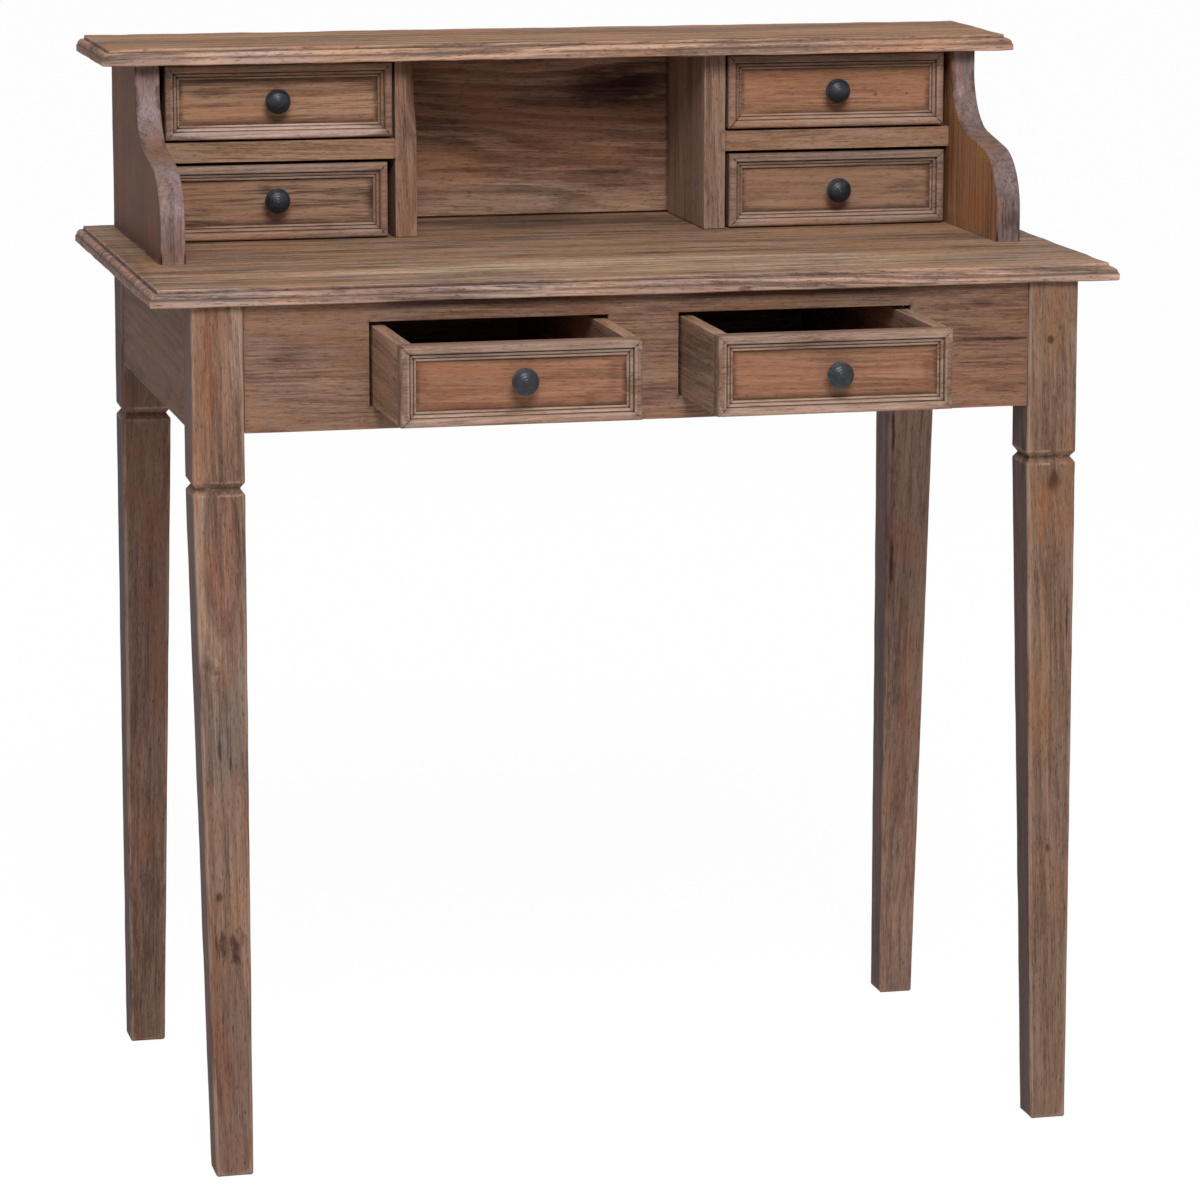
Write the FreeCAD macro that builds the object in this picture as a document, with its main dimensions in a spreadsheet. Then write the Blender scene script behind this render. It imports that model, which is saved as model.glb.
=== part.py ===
import FreeCAD, Part
import math
import os
import Sketcher

# Writing desk with a small hutch on its back edge (a bonheur du jour), in solid wood.
# Millimetres, +Z up, -Y is the front, where the sitter is. The origin lies on the floor,
# midway across the desk and midway between the knobs of the pulled drawers and the back edge.
# The two table drawers stand pulled out by drawer_out; the four hutch drawers are closed.

os.makedirs("parts", exist_ok=True)
doc = FreeCAD.newDocument("bonheur_du_jour")
sheet = doc.addObject("Spreadsheet::Sheet", "Dims")

DIMENSIONS = (
    # table top and hutch top, which share one moulded edge
    ("top_width", 850.0, "table top, left to right"),
    ("top_depth", 480.0, "table top, front to back"),
    ("top_thick", 15.0, "table top and hutch top"),
    ("edge_band", 6.6, "square band under the edge moulding"),
    ("edge_quirk", 1.0, "step from the band to the ovolo"),
    ("edge_ovolo", 5.2, "radius of the ovolo"),
    ("edge_shoulder", 1.2, "flat from the ovolo to the top's arris"),
    # legs
    ("leg_length", 756.0, "floor to the underside of the table top"),
    ("leg_side", 45.0, "square of the upper block"),
    ("leg_taper", 12.5, "what two faces of a leg lose by the foot"),
    ("side_overhang", 35.0, "top beyond the legs, left and right"),
    ("front_overhang", 8.0, "top beyond the front legs"),
    ("back_overhang", 2.0, "top beyond the rear legs"),
    ("groove_drop", 155.5, "top of a leg to its groove"),
    ("groove_half", 5.5, "half the height of the V groove"),
    ("groove_depth", 4.0, "depth of the V groove"),
    ("arris", 1.6, "worn corner of legs and scrolls"),
    # aprons and their tenons
    ("apron_height", 109.0, "all four aprons"),
    ("apron_thick", 20.0, "all four aprons"),
    ("apron_recess", 2.0, "apron behind the face of its leg"),
    ("tenon_thick", 8.0, "tenon on the end of an apron"),
    ("tenon_length", 20.0, "reach of a tenon into its leg"),
    ("tenon_shoulder", 12.0, "apron above and below its tenon"),
    ("fit_gap", 0.2, "round a tenon, a stud or a panel in its groove"),
    # drawer openings in the front apron
    ("opening_width", 207.0, "each cut-out"),
    ("opening_height", 72.0, "each cut-out"),
    ("opening_drop", 17.5, "apron above a cut-out"),
    ("stile_width", 62.0, "apron between the cut-outs"),
    # runners and kickers behind the front apron
    ("runner_guide", 14.0, "thickness of a runner's upright"),
    ("runner_ledge", 14.0, "ledge under a drawer side"),
    ("runner_sole", 16.0, "height of the ledge"),
    ("runner_rise", 32.0, "upright above the ledge"),
    ("kicker_width", 40.0, "batten over each table drawer"),
    # table drawers
    ("slide_gap", 0.3, "running gap under a drawer"),
    ("side_play", 1.5, "table drawer to its opening, each side"),
    ("drift_table", 1.2, "table drawers, to the right"),
    ("head_room", 3.6, "opening above a closed table drawer"),
    ("drawer_out", 125.0, "how far the table drawers stand open"),
    ("stop_gap", 3.0, "back of a closed drawer to what stops it"),
    ("front_proud", 2.0, "drawer moulding before the face round it"),
    ("front_board", 12.0, "board behind the moulding"),
    ("mould_width", 13.0, "mitred moulding, across its face"),
    ("mould_relief", 6.5, "mitred moulding, off the board"),
    ("box_side", 12.0, "side of a table drawer"),
    ("box_back", 10.0, "back of a drawer"),
    ("panel_thick", 4.0, "bottom of a drawer"),
    ("panel_lift", 7.0, "bottom above the lower edge of the sides"),
    ("panel_groove", 5.0, "depth of the groove round the bottom"),
    # knobs
    ("knob_width", 23.0, "across the dome"),
    ("knob_reach", 20.0, "board to the crown of the dome"),
    ("knob_cap", 8.0, "height of the dome and its rim"),
    ("knob_rim", 2.0, "straight rim under the dome"),
    ("knob_neck", 9.0, "stem under the dome"),
    ("knob_foot", 13.0, "foot on the board"),
    ("stud_width", 4.0, "stud through the board"),
    ("stud_end", 2.0, "stud beyond the board"),
    # hutch
    ("hutch_height", 161.0, "between table top and hutch top"),
    ("hutch_back_set", 8.0, "hutch before the back edge of the table top"),
    ("hutch_overhang", 32.0, "hutch top beyond the scroll-cut sides, left and right"),
    ("hutch_top_depth", 173.0, "hutch top, front to back"),
    ("scroll_side", 22.0, "thickness of a scroll-cut side"),
    ("scroll_base", 297.0, "side at its foot, front to back"),
    ("scroll_neck", 155.0, "side at its top, front to back"),
    ("scroll_radius", 55.0, "both curves of the scroll"),
    ("scroll_start", 27.0, "foot of the scroll's lower curve"),
    ("scroll_end", 144.0, "head of the scroll's upper curve"),
    ("partition_thick", 20.0, "upright beside the middle compartment"),
    ("partition_set", 26.0, "partition behind the front of the hutch top"),
    ("compartment", 268.0, "clear width of the middle compartment"),
    ("shelf_thick", 18.5, "shelf between the small drawers"),
    ("shelf_set", 2.0, "shelf behind the partition's front"),
    ("housing", 5.0, "depth of the slots that hold a shelf"),
    ("back_thick", 8.0, "hutch back"),
    ("back_rebate", 2.0, "height of the rebate under the front of the hutch back"),
    ("relief_width", 10.0, "stopped chamfer on the left partition"),
    ("relief_depth", 14.0, "the same, front to back"),
    ("relief_full", 36.0, "its full-width length from the top"),
    ("relief_end", 68.0, "where it runs out, from the top"),
    # hutch drawers
    ("small_play", 4.0, "small drawer to its bay, each side"),
    ("small_head", 1.95, "bay above a small drawer"),
    ("small_lift", 1.8, "front above the runners of its box"),
    ("small_side", 9.0, "side of a small drawer"),
    ("drift_upper", 1.6, "upper drawers stand this far to the middle"),
    ("drift_left", -3.2, "lower left drawer, to the middle"),
    ("drift_right", 0.4, "lower right drawer, to the middle"),
    ("drift_lower", 1.0, "lower drawers, downward"),
)


class Size:
    """A length as a spreadsheet expression, with its present number beside it."""

    def __init__(self, text, number):
        self.text = text
        self.number = number

    def joined(self, sign, other, number):
        return Size(f"({self.text} {sign} {size(other).text})", number)

    def __add__(self, other):
        return self.joined("+", other, self.number + size(other).number)

    def __radd__(self, other):
        return size(other) + self

    def __sub__(self, other):
        return self.joined("-", other, self.number - size(other).number)

    def __rsub__(self, other):
        return size(other) - self

    def __mul__(self, other):
        return self.joined("*", other, self.number * size(other).number)

    def __rmul__(self, other):
        return size(other) * self

    def __truediv__(self, other):
        return self.joined("/", other, self.number / size(other).number)

    def __neg__(self):
        return Size(f"(0 - {self.text})", -self.number)


def size(value):
    """A plain number as a Size; a Size as it is."""
    if isinstance(value, Size):
        return value
    return Size(f"{value:g}", float(value))


def read_sheet():
    """Fills the sheet with the driving dimensions and gives them back as Sizes by alias."""
    sizes = {}
    for row, (alias, number, note) in enumerate(DIMENSIONS, start=1):
        sheet.set(f"A{row}", alias)
        sheet.set(f"B{row}", f"{number:g}")
        sheet.set(f"C{row}", note)
        sheet.setAlias(f"B{row}", alias)
        sizes[alias] = Size(f"Dims.{alias}", number)
    doc.recompute()
    return sizes


D = read_sheet()


# --- drawing and placing -----------------------------------------------------------------


def new_body(label):
    """An empty body whose label is the name of its node."""
    body = doc.addObject("PartDesign::Body", label)
    body.Label = label
    return body


def sketch_on(body, plane, name, offset=None):
    """A sketch on one of the body's own origin planes, moved along its normal by offset."""
    sketch = body.newObject("Sketcher::SketchObject", name)
    support = [f for f in body.Origin.OriginFeatures if f.Role == plane][0]
    sketch.AttachmentSupport = (support, [""])
    sketch.MapMode = "FlatFace"
    if offset is not None:
        sketch.setExpression("AttachmentOffset.Base.z", size(offset).text)
    return sketch


def pin(sketch, geometry, point, x, y):
    """Fixes one point of a sketch at x, y from the sketch's origin."""
    for kind, axis, value in (("DistanceX", -2, size(x)), ("DistanceY", -1, size(y))):
        if value.number == 0.0:
            sketch.addConstraint(Sketcher.Constraint("PointOnObject", geometry, point, axis))
        else:
            row = sketch.addConstraint(
                Sketcher.Constraint(kind, -1, 1, geometry, point, value.number)
            )
            sketch.setExpression(f"Constraints[{row}]", value.text)


def arc_through(start, end, radius):
    """The short arc from start to end; a positive radius bends to the left, a negative to the right."""
    along = end - start
    half = along.Length / 2
    rise = math.sqrt(max(radius * radius - half * half, 0.0))
    left = FreeCAD.Vector(-along.y, along.x, 0).normalize()
    centre = start + along / 2 + left * (rise if radius > 0 else -rise)
    first, last = (start, end) if radius > 0 else (end, start)
    turns = [math.atan2(p.y - centre.y, p.x - centre.x) for p in (first, last)]
    circle = Part.Circle(centre, FreeCAD.Vector(0, 0, 1), abs(radius))
    return Part.ArcOfCircle(circle, turns[0], turns[1])


def outline(sketch, *corners):
    """Draws a closed outline, every corner pinned by its sizes.

    A corner is (x, y), reached by a straight line, or (x, y, radius), reached by an arc
    that bends left for a positive radius and right for a negative one.
    """
    points = [FreeCAD.Vector(size(c[0]).number, size(c[1]).number, 0) for c in corners]
    rows = []
    for index, corner in enumerate(corners):
        start, end = points[index - 1], points[index]
        if len(corner) == 2:
            rows.append((sketch.addGeometry(Part.LineSegment(start, end), False), 1, 2))
            continue
        radius = size(corner[2])
        row = sketch.addGeometry(arc_through(start, end, radius.number), False)
        rows.append((row, 1, 2) if radius.number > 0 else (row, 2, 1))
        length = radius if radius.number > 0 else -radius
        fixed = sketch.addConstraint(Sketcher.Constraint("Radius", row, length.number))
        sketch.setExpression(f"Constraints[{fixed}]", length.text)
    for index, (row, first, last) in enumerate(rows):
        follow, entry, _ = rows[(index + 1) % len(rows)]
        sketch.addConstraint(Sketcher.Constraint("Coincident", row, last, follow, entry))
        pin(sketch, row, last, corners[index][0], corners[index][1])


def rectangle(sketch, left, low, width, height):
    """A rectangle from its lower left corner."""
    right, high = left + width, low + height
    outline(sketch, (left, low), (right, low), (right, high), (left, high))


def disc(sketch, x, y, radius):
    """A circle round x, y."""
    centre = FreeCAD.Vector(size(x).number, size(y).number, 0)
    circle = Part.Circle(centre, FreeCAD.Vector(0, 0, 1), radius.number)
    row = sketch.addGeometry(circle, False)
    pin(sketch, row, 3, x, y)
    fixed = sketch.addConstraint(Sketcher.Constraint("Radius", row, radius.number))
    sketch.setExpression(f"Constraints[{fixed}]", radius.text)


def pad(body, sketch, length, name, backward=False):
    """Pads a sketch. On an XZ sketch, backward pads toward +Y, because its normal is -Y."""
    feature = body.newObject("PartDesign::Pad", name)
    feature.Profile = sketch
    feature.Reversed = backward
    feature.setExpression("Length", size(length).text)
    sketch.Visibility = False
    return feature


def pocket(body, sketch, name, length=None, backward=False, both_ways=False):
    """Cuts a sketch out of the body, to length or right through, and checks that it cuts."""
    doc.recompute()
    before = body.Tip.Shape.Volume
    feature = body.newObject("PartDesign::Pocket", name)
    feature.Profile = sketch
    feature.Reversed = backward
    if length is None:
        feature.Type = "ThroughAll"
        feature.Midplane = both_ways
    else:
        feature.setExpression("Length", size(length).text)
    sketch.Visibility = False
    doc.recompute()
    if feature.Shape.Volume > before - 0.001:
        raise RuntimeError(f"{body.Label}: {name} cuts nothing")
    return feature


def round_edges(body, name, radius, wanted, chamfer=False):
    """Rounds or chamfers the edges of the body's tip that the test wanted accepts."""
    doc.recompute()
    tip = body.Tip
    names = [f"Edge{i}" for i, edge in enumerate(tip.Shape.Edges, start=1) if wanted(edge)]
    kind = "PartDesign::Chamfer" if chamfer else "PartDesign::Fillet"
    feature = body.newObject(kind, name)
    feature.Base = (tip, names)
    feature.setExpression("Size" if chamfer else "Radius", size(radius).text)
    return feature


def place(item, x, y, z, axis=(0, 0, 1), angle=0.0):
    """Turns an item by angle degrees and binds its position to sizes."""
    corner = FreeCAD.Vector(size(x).number, size(y).number, size(z).number)
    turn = FreeCAD.Rotation(FreeCAD.Vector(*axis), angle)
    item.Placement = FreeCAD.Placement(corner, turn)
    for letter, value in (("x", x), ("y", y), ("z", z)):
        item.setExpression(f"Placement.Base.{letter}", size(value).text)
    return item


def group(label, items):
    """One node that holds several separate pieces of one kind."""
    node = doc.addObject("Part::Compound", label)
    node.Label = label
    node.Links = items
    return node


def runs_along(edge, direction):
    """True for a straight edge parallel to direction."""
    if not isinstance(edge.Curve, Part.Line):
        return False
    return abs(edge.Curve.Direction.dot(FreeCAD.Vector(*direction))) > 0.999


# --- where things are --------------------------------------------------------------------

FRONT_REACH = (
    D["drawer_out"] + D["front_proud"] + D["knob_reach"] - D["mould_relief"]
    - D["front_overhang"] - D["apron_recess"]
)  # knobs of the pulled drawers before the front edge of the table top
Y_BACK = (D["top_depth"] + FRONT_REACH) / 2
Y_FRONT = Y_BACK - D["top_depth"]
X_EDGE = D["top_width"] / 2
Z_TOP = D["leg_length"] + D["top_thick"]

X_LEG = X_EDGE - D["side_overhang"]
Y_LEG_FRONT = Y_FRONT + D["front_overhang"]
Y_LEG_BACK = Y_BACK - D["back_overhang"]
Z_APRON = D["leg_length"] - D["apron_height"]
Y_APRON = Y_LEG_FRONT + D["apron_recess"]
Y_APRON_BACK = Y_LEG_BACK - D["apron_recess"]
APRON_INSET = D["apron_recess"] + D["apron_thick"]
Z_SILL = D["leg_length"] - D["opening_drop"] - D["opening_height"]
INSIDE_DEPTH = Y_APRON_BACK - Y_APRON - 2 * D["apron_thick"]

Y_HUTCH_BACK = Y_BACK - D["hutch_back_set"]
Y_HUTCH_FRONT = Y_HUTCH_BACK - D["hutch_top_depth"]
Y_PARTITION = Y_HUTCH_FRONT + D["partition_set"]
Y_PANEL = Y_HUTCH_BACK - D["back_thick"]
X_PARTITION = D["compartment"] / 2
X_BAY = X_PARTITION + D["partition_thick"]
X_SCROLL = X_LEG - D["scroll_side"]
BAY_WIDTH = X_SCROLL - X_BAY
HUTCH_WIDTH = 2 * (X_LEG + D["hutch_overhang"])
BAY_HEIGHT = (D["hutch_height"] - D["shelf_thick"]) / 2


# --- tops with a moulded edge ------------------------------------------------------------


def edge_profile(sketch, width, sides):
    """The waste outside the moulded edge, on the near side of a top and, for sides, on both."""
    quirk, ovolo = D["edge_quirk"], D["edge_ovolo"]
    inset = quirk + ovolo + D["edge_shoulder"]
    band, crown, thick = D["edge_band"], D["edge_band"] + D["edge_ovolo"], D["top_thick"]
    outline(
        sketch,
        (0, band),
        (quirk, band),
        (quirk + ovolo, crown, -ovolo),
        (inset, crown),
        (inset, thick),
        (0, thick),
    )
    if sides:
        outline(
            sketch,
            (width, band),
            (width, thick),
            (width - inset, thick),
            (width - inset, crown),
            (width - quirk - ovolo, crown),
            (width - quirk, band, -ovolo),
        )


def moulded_top(label, width, depth, y, z):
    """A top board moulded along its front and both ends, square along its back."""
    body = new_body(label)
    board = sketch_on(body, "XY_Plane", "board")
    rectangle(board, size(0), size(0), width, depth)
    pad(body, board, D["top_thick"], "board_pad")
    front = sketch_on(body, "YZ_Plane", "front_moulding")
    edge_profile(front, depth, sides=False)
    pocket(body, front, "front_moulding_cut", both_ways=True)
    ends = sketch_on(body, "XZ_Plane", "end_mouldings")
    edge_profile(ends, width, sides=True)
    pocket(body, ends, "end_mouldings_cut", both_ways=True)
    round_edges(
        body,
        "worn_lower_arris",
        D["edge_quirk"],
        lambda e: e.BoundBox.ZMax < 0.01 and e.BoundBox.YMin < depth.number - 0.01,
        chamfer=True,
    )
    place(body, -width / 2, y, z)


# --- legs --------------------------------------------------------------------------------


def leg(label, inner_face, x, y, turned=False):
    """A square leg: a plain block above a V groove, below it a taper on two faces.

    In its own frame the leg's outer corner is at the origin and the faces that taper are
    the left one and the back one. inner_face, "right" or "left", is where the long apron
    joins; the side apron always joins at the back. A rear leg is the same leg turned round.
    """
    side, taper = D["leg_side"], D["leg_taper"]
    neck = D["leg_length"] - D["groove_drop"]
    body = new_body(label)

    foot = sketch_on(body, "XY_Plane", "foot")
    rectangle(foot, taper, size(0), side - taper, side - taper)
    knee = sketch_on(body, "XY_Plane", "knee", neck)
    rectangle(knee, size(0), size(0), side, side)
    shank = body.newObject("PartDesign::AdditiveLoft", "tapered_shank")
    shank.Profile = foot
    shank.Sections = [knee]
    block = sketch_on(body, "XY_Plane", "block", neck)
    rectangle(block, size(0), size(0), side, side)
    pad(body, block, D["groove_drop"], "block_pad")

    for plane, name in (("YZ_Plane", "groove_front_back"), ("XZ_Plane", "groove_left_right")):
        notch = sketch_on(body, plane, name)
        low, high = neck - D["groove_half"], neck + D["groove_half"]
        outline(notch, (0, low), (D["groove_depth"], neck), (0, high))
        outline(notch, (side, low), (side, high), (side - D["groove_depth"], neck))
        pocket(body, notch, f"{name}_cut", both_ways=True)

    reach = D["tenon_length"] + D["fit_gap"]
    slot = D["tenon_thick"] + 2 * D["fit_gap"]
    near = D["apron_recess"] + (D["apron_thick"] - slot) / 2
    low = neck + D["groove_drop"] - D["apron_height"] + D["tenon_shoulder"] - D["fit_gap"]
    high = D["apron_height"] - 2 * D["tenon_shoulder"] + 2 * D["fit_gap"]
    right = inner_face == "right"
    long_slot = sketch_on(body, "YZ_Plane", "long_mortise", side if right else 0)
    rectangle(long_slot, near, low, slot, high)
    pocket(body, long_slot, "long_mortise_cut", reach, backward=not right)
    side_slot = sketch_on(body, "XZ_Plane", "side_mortise", -side)
    rectangle(side_slot, near if right else side - near - slot, low, slot, high)
    pocket(body, side_slot, "side_mortise_cut", reach, backward=True)

    def worn(edge):
        """Long upright corners, with the slightly sloping ones of the shank, and the foot's edges."""
        box = edge.BoundBox
        outer = min(box.XMax, box.YMax, side.number - box.XMin, side.number - box.YMin) < 0.01
        corner = box.ZLength > 2 * D["groove_half"].number and not (
            box.ZMin > low.number - 1 and box.ZMax < (low + high).number + 1
        )
        return (corner and (outer or box.ZMin < 0.01)) or box.ZMax < 0.01

    round_edges(body, "worn_arrises", D["arris"], worn, chamfer=True)
    place(body, x, y, size(0), angle=180.0 if turned else 0.0)


# --- aprons ------------------------------------------------------------------------------


def long_apron(label, y, pierced, turned=False):
    """The front or back apron, tenoned into the legs; the front one is pierced for drawers."""
    length = 2 * (X_LEG - D["leg_side"])
    body = new_body(label)
    face = sketch_on(body, "XZ_Plane", "face")
    rectangle(face, size(0), size(0), length, D["apron_height"])
    pad(body, face, D["apron_thick"], "face_pad", backward=True)
    bar = sketch_on(body, "XZ_Plane", "tenon_bar", -(D["apron_thick"] - D["tenon_thick"]) / 2)
    rise = D["tenon_shoulder"]
    reach = D["tenon_length"]
    for left in (-reach, length):
        rectangle(bar, left, rise, reach, D["apron_height"] - 2 * rise)
    pad(body, bar, D["tenon_thick"], "tenons", backward=True)
    if pierced:
        holes = sketch_on(body, "XZ_Plane", "drawer_openings")
        low = D["apron_height"] - D["opening_drop"] - D["opening_height"]
        first = (length - D["stile_width"]) / 2 - D["opening_width"]
        for left in (first, first + D["opening_width"] + D["stile_width"]):
            rectangle(holes, left, low, D["opening_width"], D["opening_height"])
        pocket(body, holes, "drawer_openings_cut", both_ways=True)
    x = length / 2 if turned else -length / 2
    place(body, x, y, Z_APRON, angle=180.0 if turned else 0.0)


def side_apron(label, x):
    """A side apron between a front and a rear leg, tenoned into both."""
    length = Y_LEG_BACK - Y_LEG_FRONT - 2 * D["leg_side"]
    body = new_body(label)
    face = sketch_on(body, "YZ_Plane", "face")
    rectangle(face, size(0), size(0), length, D["apron_height"])
    pad(body, face, D["apron_thick"], "face_pad")
    bar = sketch_on(body, "YZ_Plane", "tenon_bar", (D["apron_thick"] - D["tenon_thick"]) / 2)
    rise = D["tenon_shoulder"]
    reach = D["tenon_length"]
    for near in (-reach, length):
        rectangle(bar, near, rise, reach, D["apron_height"] - 2 * rise)
    pad(body, bar, D["tenon_thick"], "tenons")
    place(body, x, Y_LEG_FRONT + D["leg_side"], Z_APRON)


# --- what carries the table drawers ------------------------------------------------------


def box(label, width, depth, height):
    """A plain rectangular strip of wood."""
    strip = doc.addObject("Part::Box", label)
    strip.Label = label
    for letter, value in (("Length", width), ("Width", depth), ("Height", height)):
        strip.setExpression(letter, size(value).text)
    return strip


def runner(label, jamb, inward):
    """What one side of a table drawer runs on: a ledge under it and a guide beside it.

    jamb is the side of the cut-out in the front apron, and inward is 1 where the cut-out
    lies to the right of it, -1 where it lies to the left.
    """
    y = Y_APRON + D["apron_thick"]
    low = Z_SILL - D["runner_sole"]
    guide = box(f"{label}_guide", D["runner_guide"], INSIDE_DEPTH, D["runner_rise"] + D["runner_sole"])
    ledge = box(f"{label}_ledge", D["runner_ledge"], INSIDE_DEPTH, D["runner_sole"])
    right = inward > 0
    place(guide, jamb - D["runner_guide"] if right else jamb, y, low)
    place(ledge, jamb if right else jamb - D["runner_ledge"], y, low)
    group(label, [guide, ledge])


def kicker(label, x):
    """A batten under the table top that keeps a pulled drawer from tipping."""
    batten = box(label, D["kicker_width"], INSIDE_DEPTH, D["opening_drop"])
    place(
        batten,
        x - D["kicker_width"] / 2,
        Y_APRON + D["apron_thick"],
        D["leg_length"] - D["opening_drop"],
    )


# --- hutch -------------------------------------------------------------------------------


def scroll_sketch(body):
    """The side's outline: deep foot, convex curve, short slope, concave curve, narrow neck.

    Both curves have one radius and are joined by the line that is tangent to both.
    """
    base, tall = D["scroll_base"].number, D["hutch_height"].number
    neck = base - D["scroll_neck"].number
    radius = D["scroll_radius"].number
    low, high = D["scroll_start"].number, D["scroll_end"].number
    lower, upper = FreeCAD.Vector(radius, low, 0), FreeCAD.Vector(neck - radius, high, 0)
    across = upper - lower
    slope = math.atan2(across.y, across.x) - math.asin(2 * radius / across.Length)
    normal = FreeCAD.Vector(-math.sin(slope), math.cos(slope), 0) * radius
    foot_end, head_start = lower + normal, upper - normal

    sketch = sketch_on(body, "YZ_Plane", "scroll")
    up = FreeCAD.Vector(0, 0, 1)
    points = [FreeCAD.Vector(*p, 0) for p in ((0, 0), (base, 0), (base, tall), (neck, tall))]
    head, foot = FreeCAD.Vector(neck, high, 0), FreeCAD.Vector(0, low, 0)
    turn = slope + math.pi / 2
    parts = (
        Part.LineSegment(points[0], points[1]),
        Part.LineSegment(points[1], points[2]),
        Part.LineSegment(points[2], points[3]),
        Part.LineSegment(points[3], head),
        Part.ArcOfCircle(Part.Circle(upper, up, radius), turn - math.pi, 0.0),
        Part.LineSegment(head_start, foot_end),
        Part.ArcOfCircle(Part.Circle(lower, up, radius), turn, math.pi),
        Part.LineSegment(foot, points[0]),
    )
    for item in parts:
        sketch.addGeometry(item, False)
    bottom, rear, crown, throat, hollow, bridge, swell, toe = range(8)
    for first, second in ((bottom, rear), (rear, crown), (crown, throat), (toe, bottom)):
        sketch.addConstraint(Sketcher.Constraint("Coincident", first, 2, second, 1))
    for first, end, second, start in (
        (throat, 2, hollow, 2),
        (hollow, 1, bridge, 1),
        (bridge, 2, swell, 1),
        (swell, 2, toe, 1),
    ):
        sketch.addConstraint(Sketcher.Constraint("Tangent", first, end, second, start))
    sketch.addConstraint(Sketcher.Constraint("Equal", hollow, swell))
    sketch.addConstraint(Sketcher.Constraint("Vertical", throat))
    sketch.addConstraint(Sketcher.Constraint("Vertical", toe))
    pin(sketch, bottom, 1, 0, 0)
    pin(sketch, bottom, 2, D["scroll_base"], 0)
    pin(sketch, rear, 2, D["scroll_base"], D["hutch_height"])
    pin(sketch, crown, 2, D["scroll_base"] - D["scroll_neck"], D["hutch_height"])
    for kind, row, point, value in (
        ("DistanceY", toe, 1, D["scroll_start"]),
        ("DistanceY", throat, 2, D["scroll_end"]),
    ):
        fixed = sketch.addConstraint(Sketcher.Constraint(kind, -1, 1, row, point, value.number))
        sketch.setExpression(f"Constraints[{fixed}]", value.text)
    fixed = sketch.addConstraint(Sketcher.Constraint("Radius", swell, radius))
    sketch.setExpression(f"Constraints[{fixed}]", D["scroll_radius"].text)
    return sketch


def shelf_slot(body, x, near, reach, backward):
    """The housing that holds the end of a shelf, open at the back."""
    slot = sketch_on(body, "YZ_Plane", "shelf_housing", x)
    rectangle(slot, near, BAY_HEIGHT, reach, D["shelf_thick"])
    pocket(body, slot, "shelf_housing_cut", D["housing"], backward=backward)


def scroll_side(label, right):
    """A scroll-cut side of the hutch, standing on the table top over the legs."""
    body = new_body(label)
    pad(body, scroll_sketch(body), D["scroll_side"], "scroll_pad")
    front = D["scroll_base"] - (Y_HUTCH_BACK - Y_PARTITION) + D["shelf_set"]
    reach = Y_PANEL - Y_PARTITION - D["shelf_set"]
    shelf_slot(body, size(0) if right else D["scroll_side"], front, reach, backward=right)

    def worn(edge):
        """The edges of the scroll from foot to head, on both faces."""
        box = edge.BoundBox
        flat = box.XLength < 0.01
        ahead = box.YMax < (D["scroll_base"] - D["scroll_neck"]).number + 0.01
        return flat and ahead and box.ZLength > 0.01

    round_edges(body, "worn_scroll", D["arris"], worn)
    x = X_SCROLL if right else -X_LEG
    place(body, x, Y_HUTCH_BACK - D["scroll_base"], Z_TOP)


def partition(label, right):
    """An upright beside the middle compartment; the left one has a stopped chamfer."""
    depth = Y_PANEL - Y_PARTITION
    body = new_body(label)
    plan = sketch_on(body, "XY_Plane", "plan")
    rectangle(plan, size(0), size(0), D["partition_thick"], depth)
    pad(body, plan, D["hutch_height"], "plan_pad")
    outer = D["partition_thick"] if right else size(0)
    shelf_slot(
        body, outer, D["shelf_set"], depth - D["shelf_set"], backward=not right
    )
    if not right:
        stopped_chamfer(body)
    place(body, X_PARTITION if right else -X_BAY, Y_PARTITION, Z_TOP)


def stopped_chamfer(body):
    """Cuts the inner front corner: full width at the head, dying out further down."""
    corner, tall = D["partition_thick"], D["hutch_height"]
    full = sketch_on(body, "XY_Plane", "relief_full", tall - D["relief_full"])
    outline(full, (corner - D["relief_width"], 0), (corner, 0), (corner, D["relief_depth"]))
    pocket(body, full, "relief_cut", D["relief_full"], backward=True)
    head = sketch_on(body, "XY_Plane", "relief_head", tall - D["relief_full"])
    outline(head, (corner - D["relief_width"], 0), (corner, 0), (corner, D["relief_depth"]))
    tail = sketch_on(body, "XY_Plane", "relief_tail", tall - D["relief_end"])
    share = 0.08
    outline(
        tail,
        (corner - D["relief_width"] * share, 0),
        (corner, 0),
        (corner, D["relief_depth"] * share),
    )
    before = body.Tip.Shape.Volume
    runout = body.newObject("PartDesign::SubtractiveLoft", "relief_runout")
    runout.Profile = head
    runout.Sections = [tail]
    doc.recompute()
    if runout.Shape.Volume > before - 0.001:
        raise RuntimeError("relief_runout cuts nothing")


def shelf(label, right):
    """The shelf between an upper and a lower small drawer, housed at both ends."""
    body = new_body(label)
    plan = sketch_on(body, "XY_Plane", "plan")
    width = BAY_WIDTH + 2 * D["housing"]
    rectangle(plan, size(0), size(0), width, Y_PANEL - Y_PARTITION - D["shelf_set"])
    pad(body, plan, D["shelf_thick"], "plan_pad")
    round_edges(
        body,
        "worn_front",
        D["arris"] / 2,
        lambda e: runs_along(e, (1, 0, 0)) and e.BoundBox.YMax < 0.01,
    )
    x = X_BAY - D["housing"] if right else -X_SCROLL - D["housing"]
    place(body, x, Y_PARTITION + D["shelf_set"], Z_TOP + BAY_HEIGHT)


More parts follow.
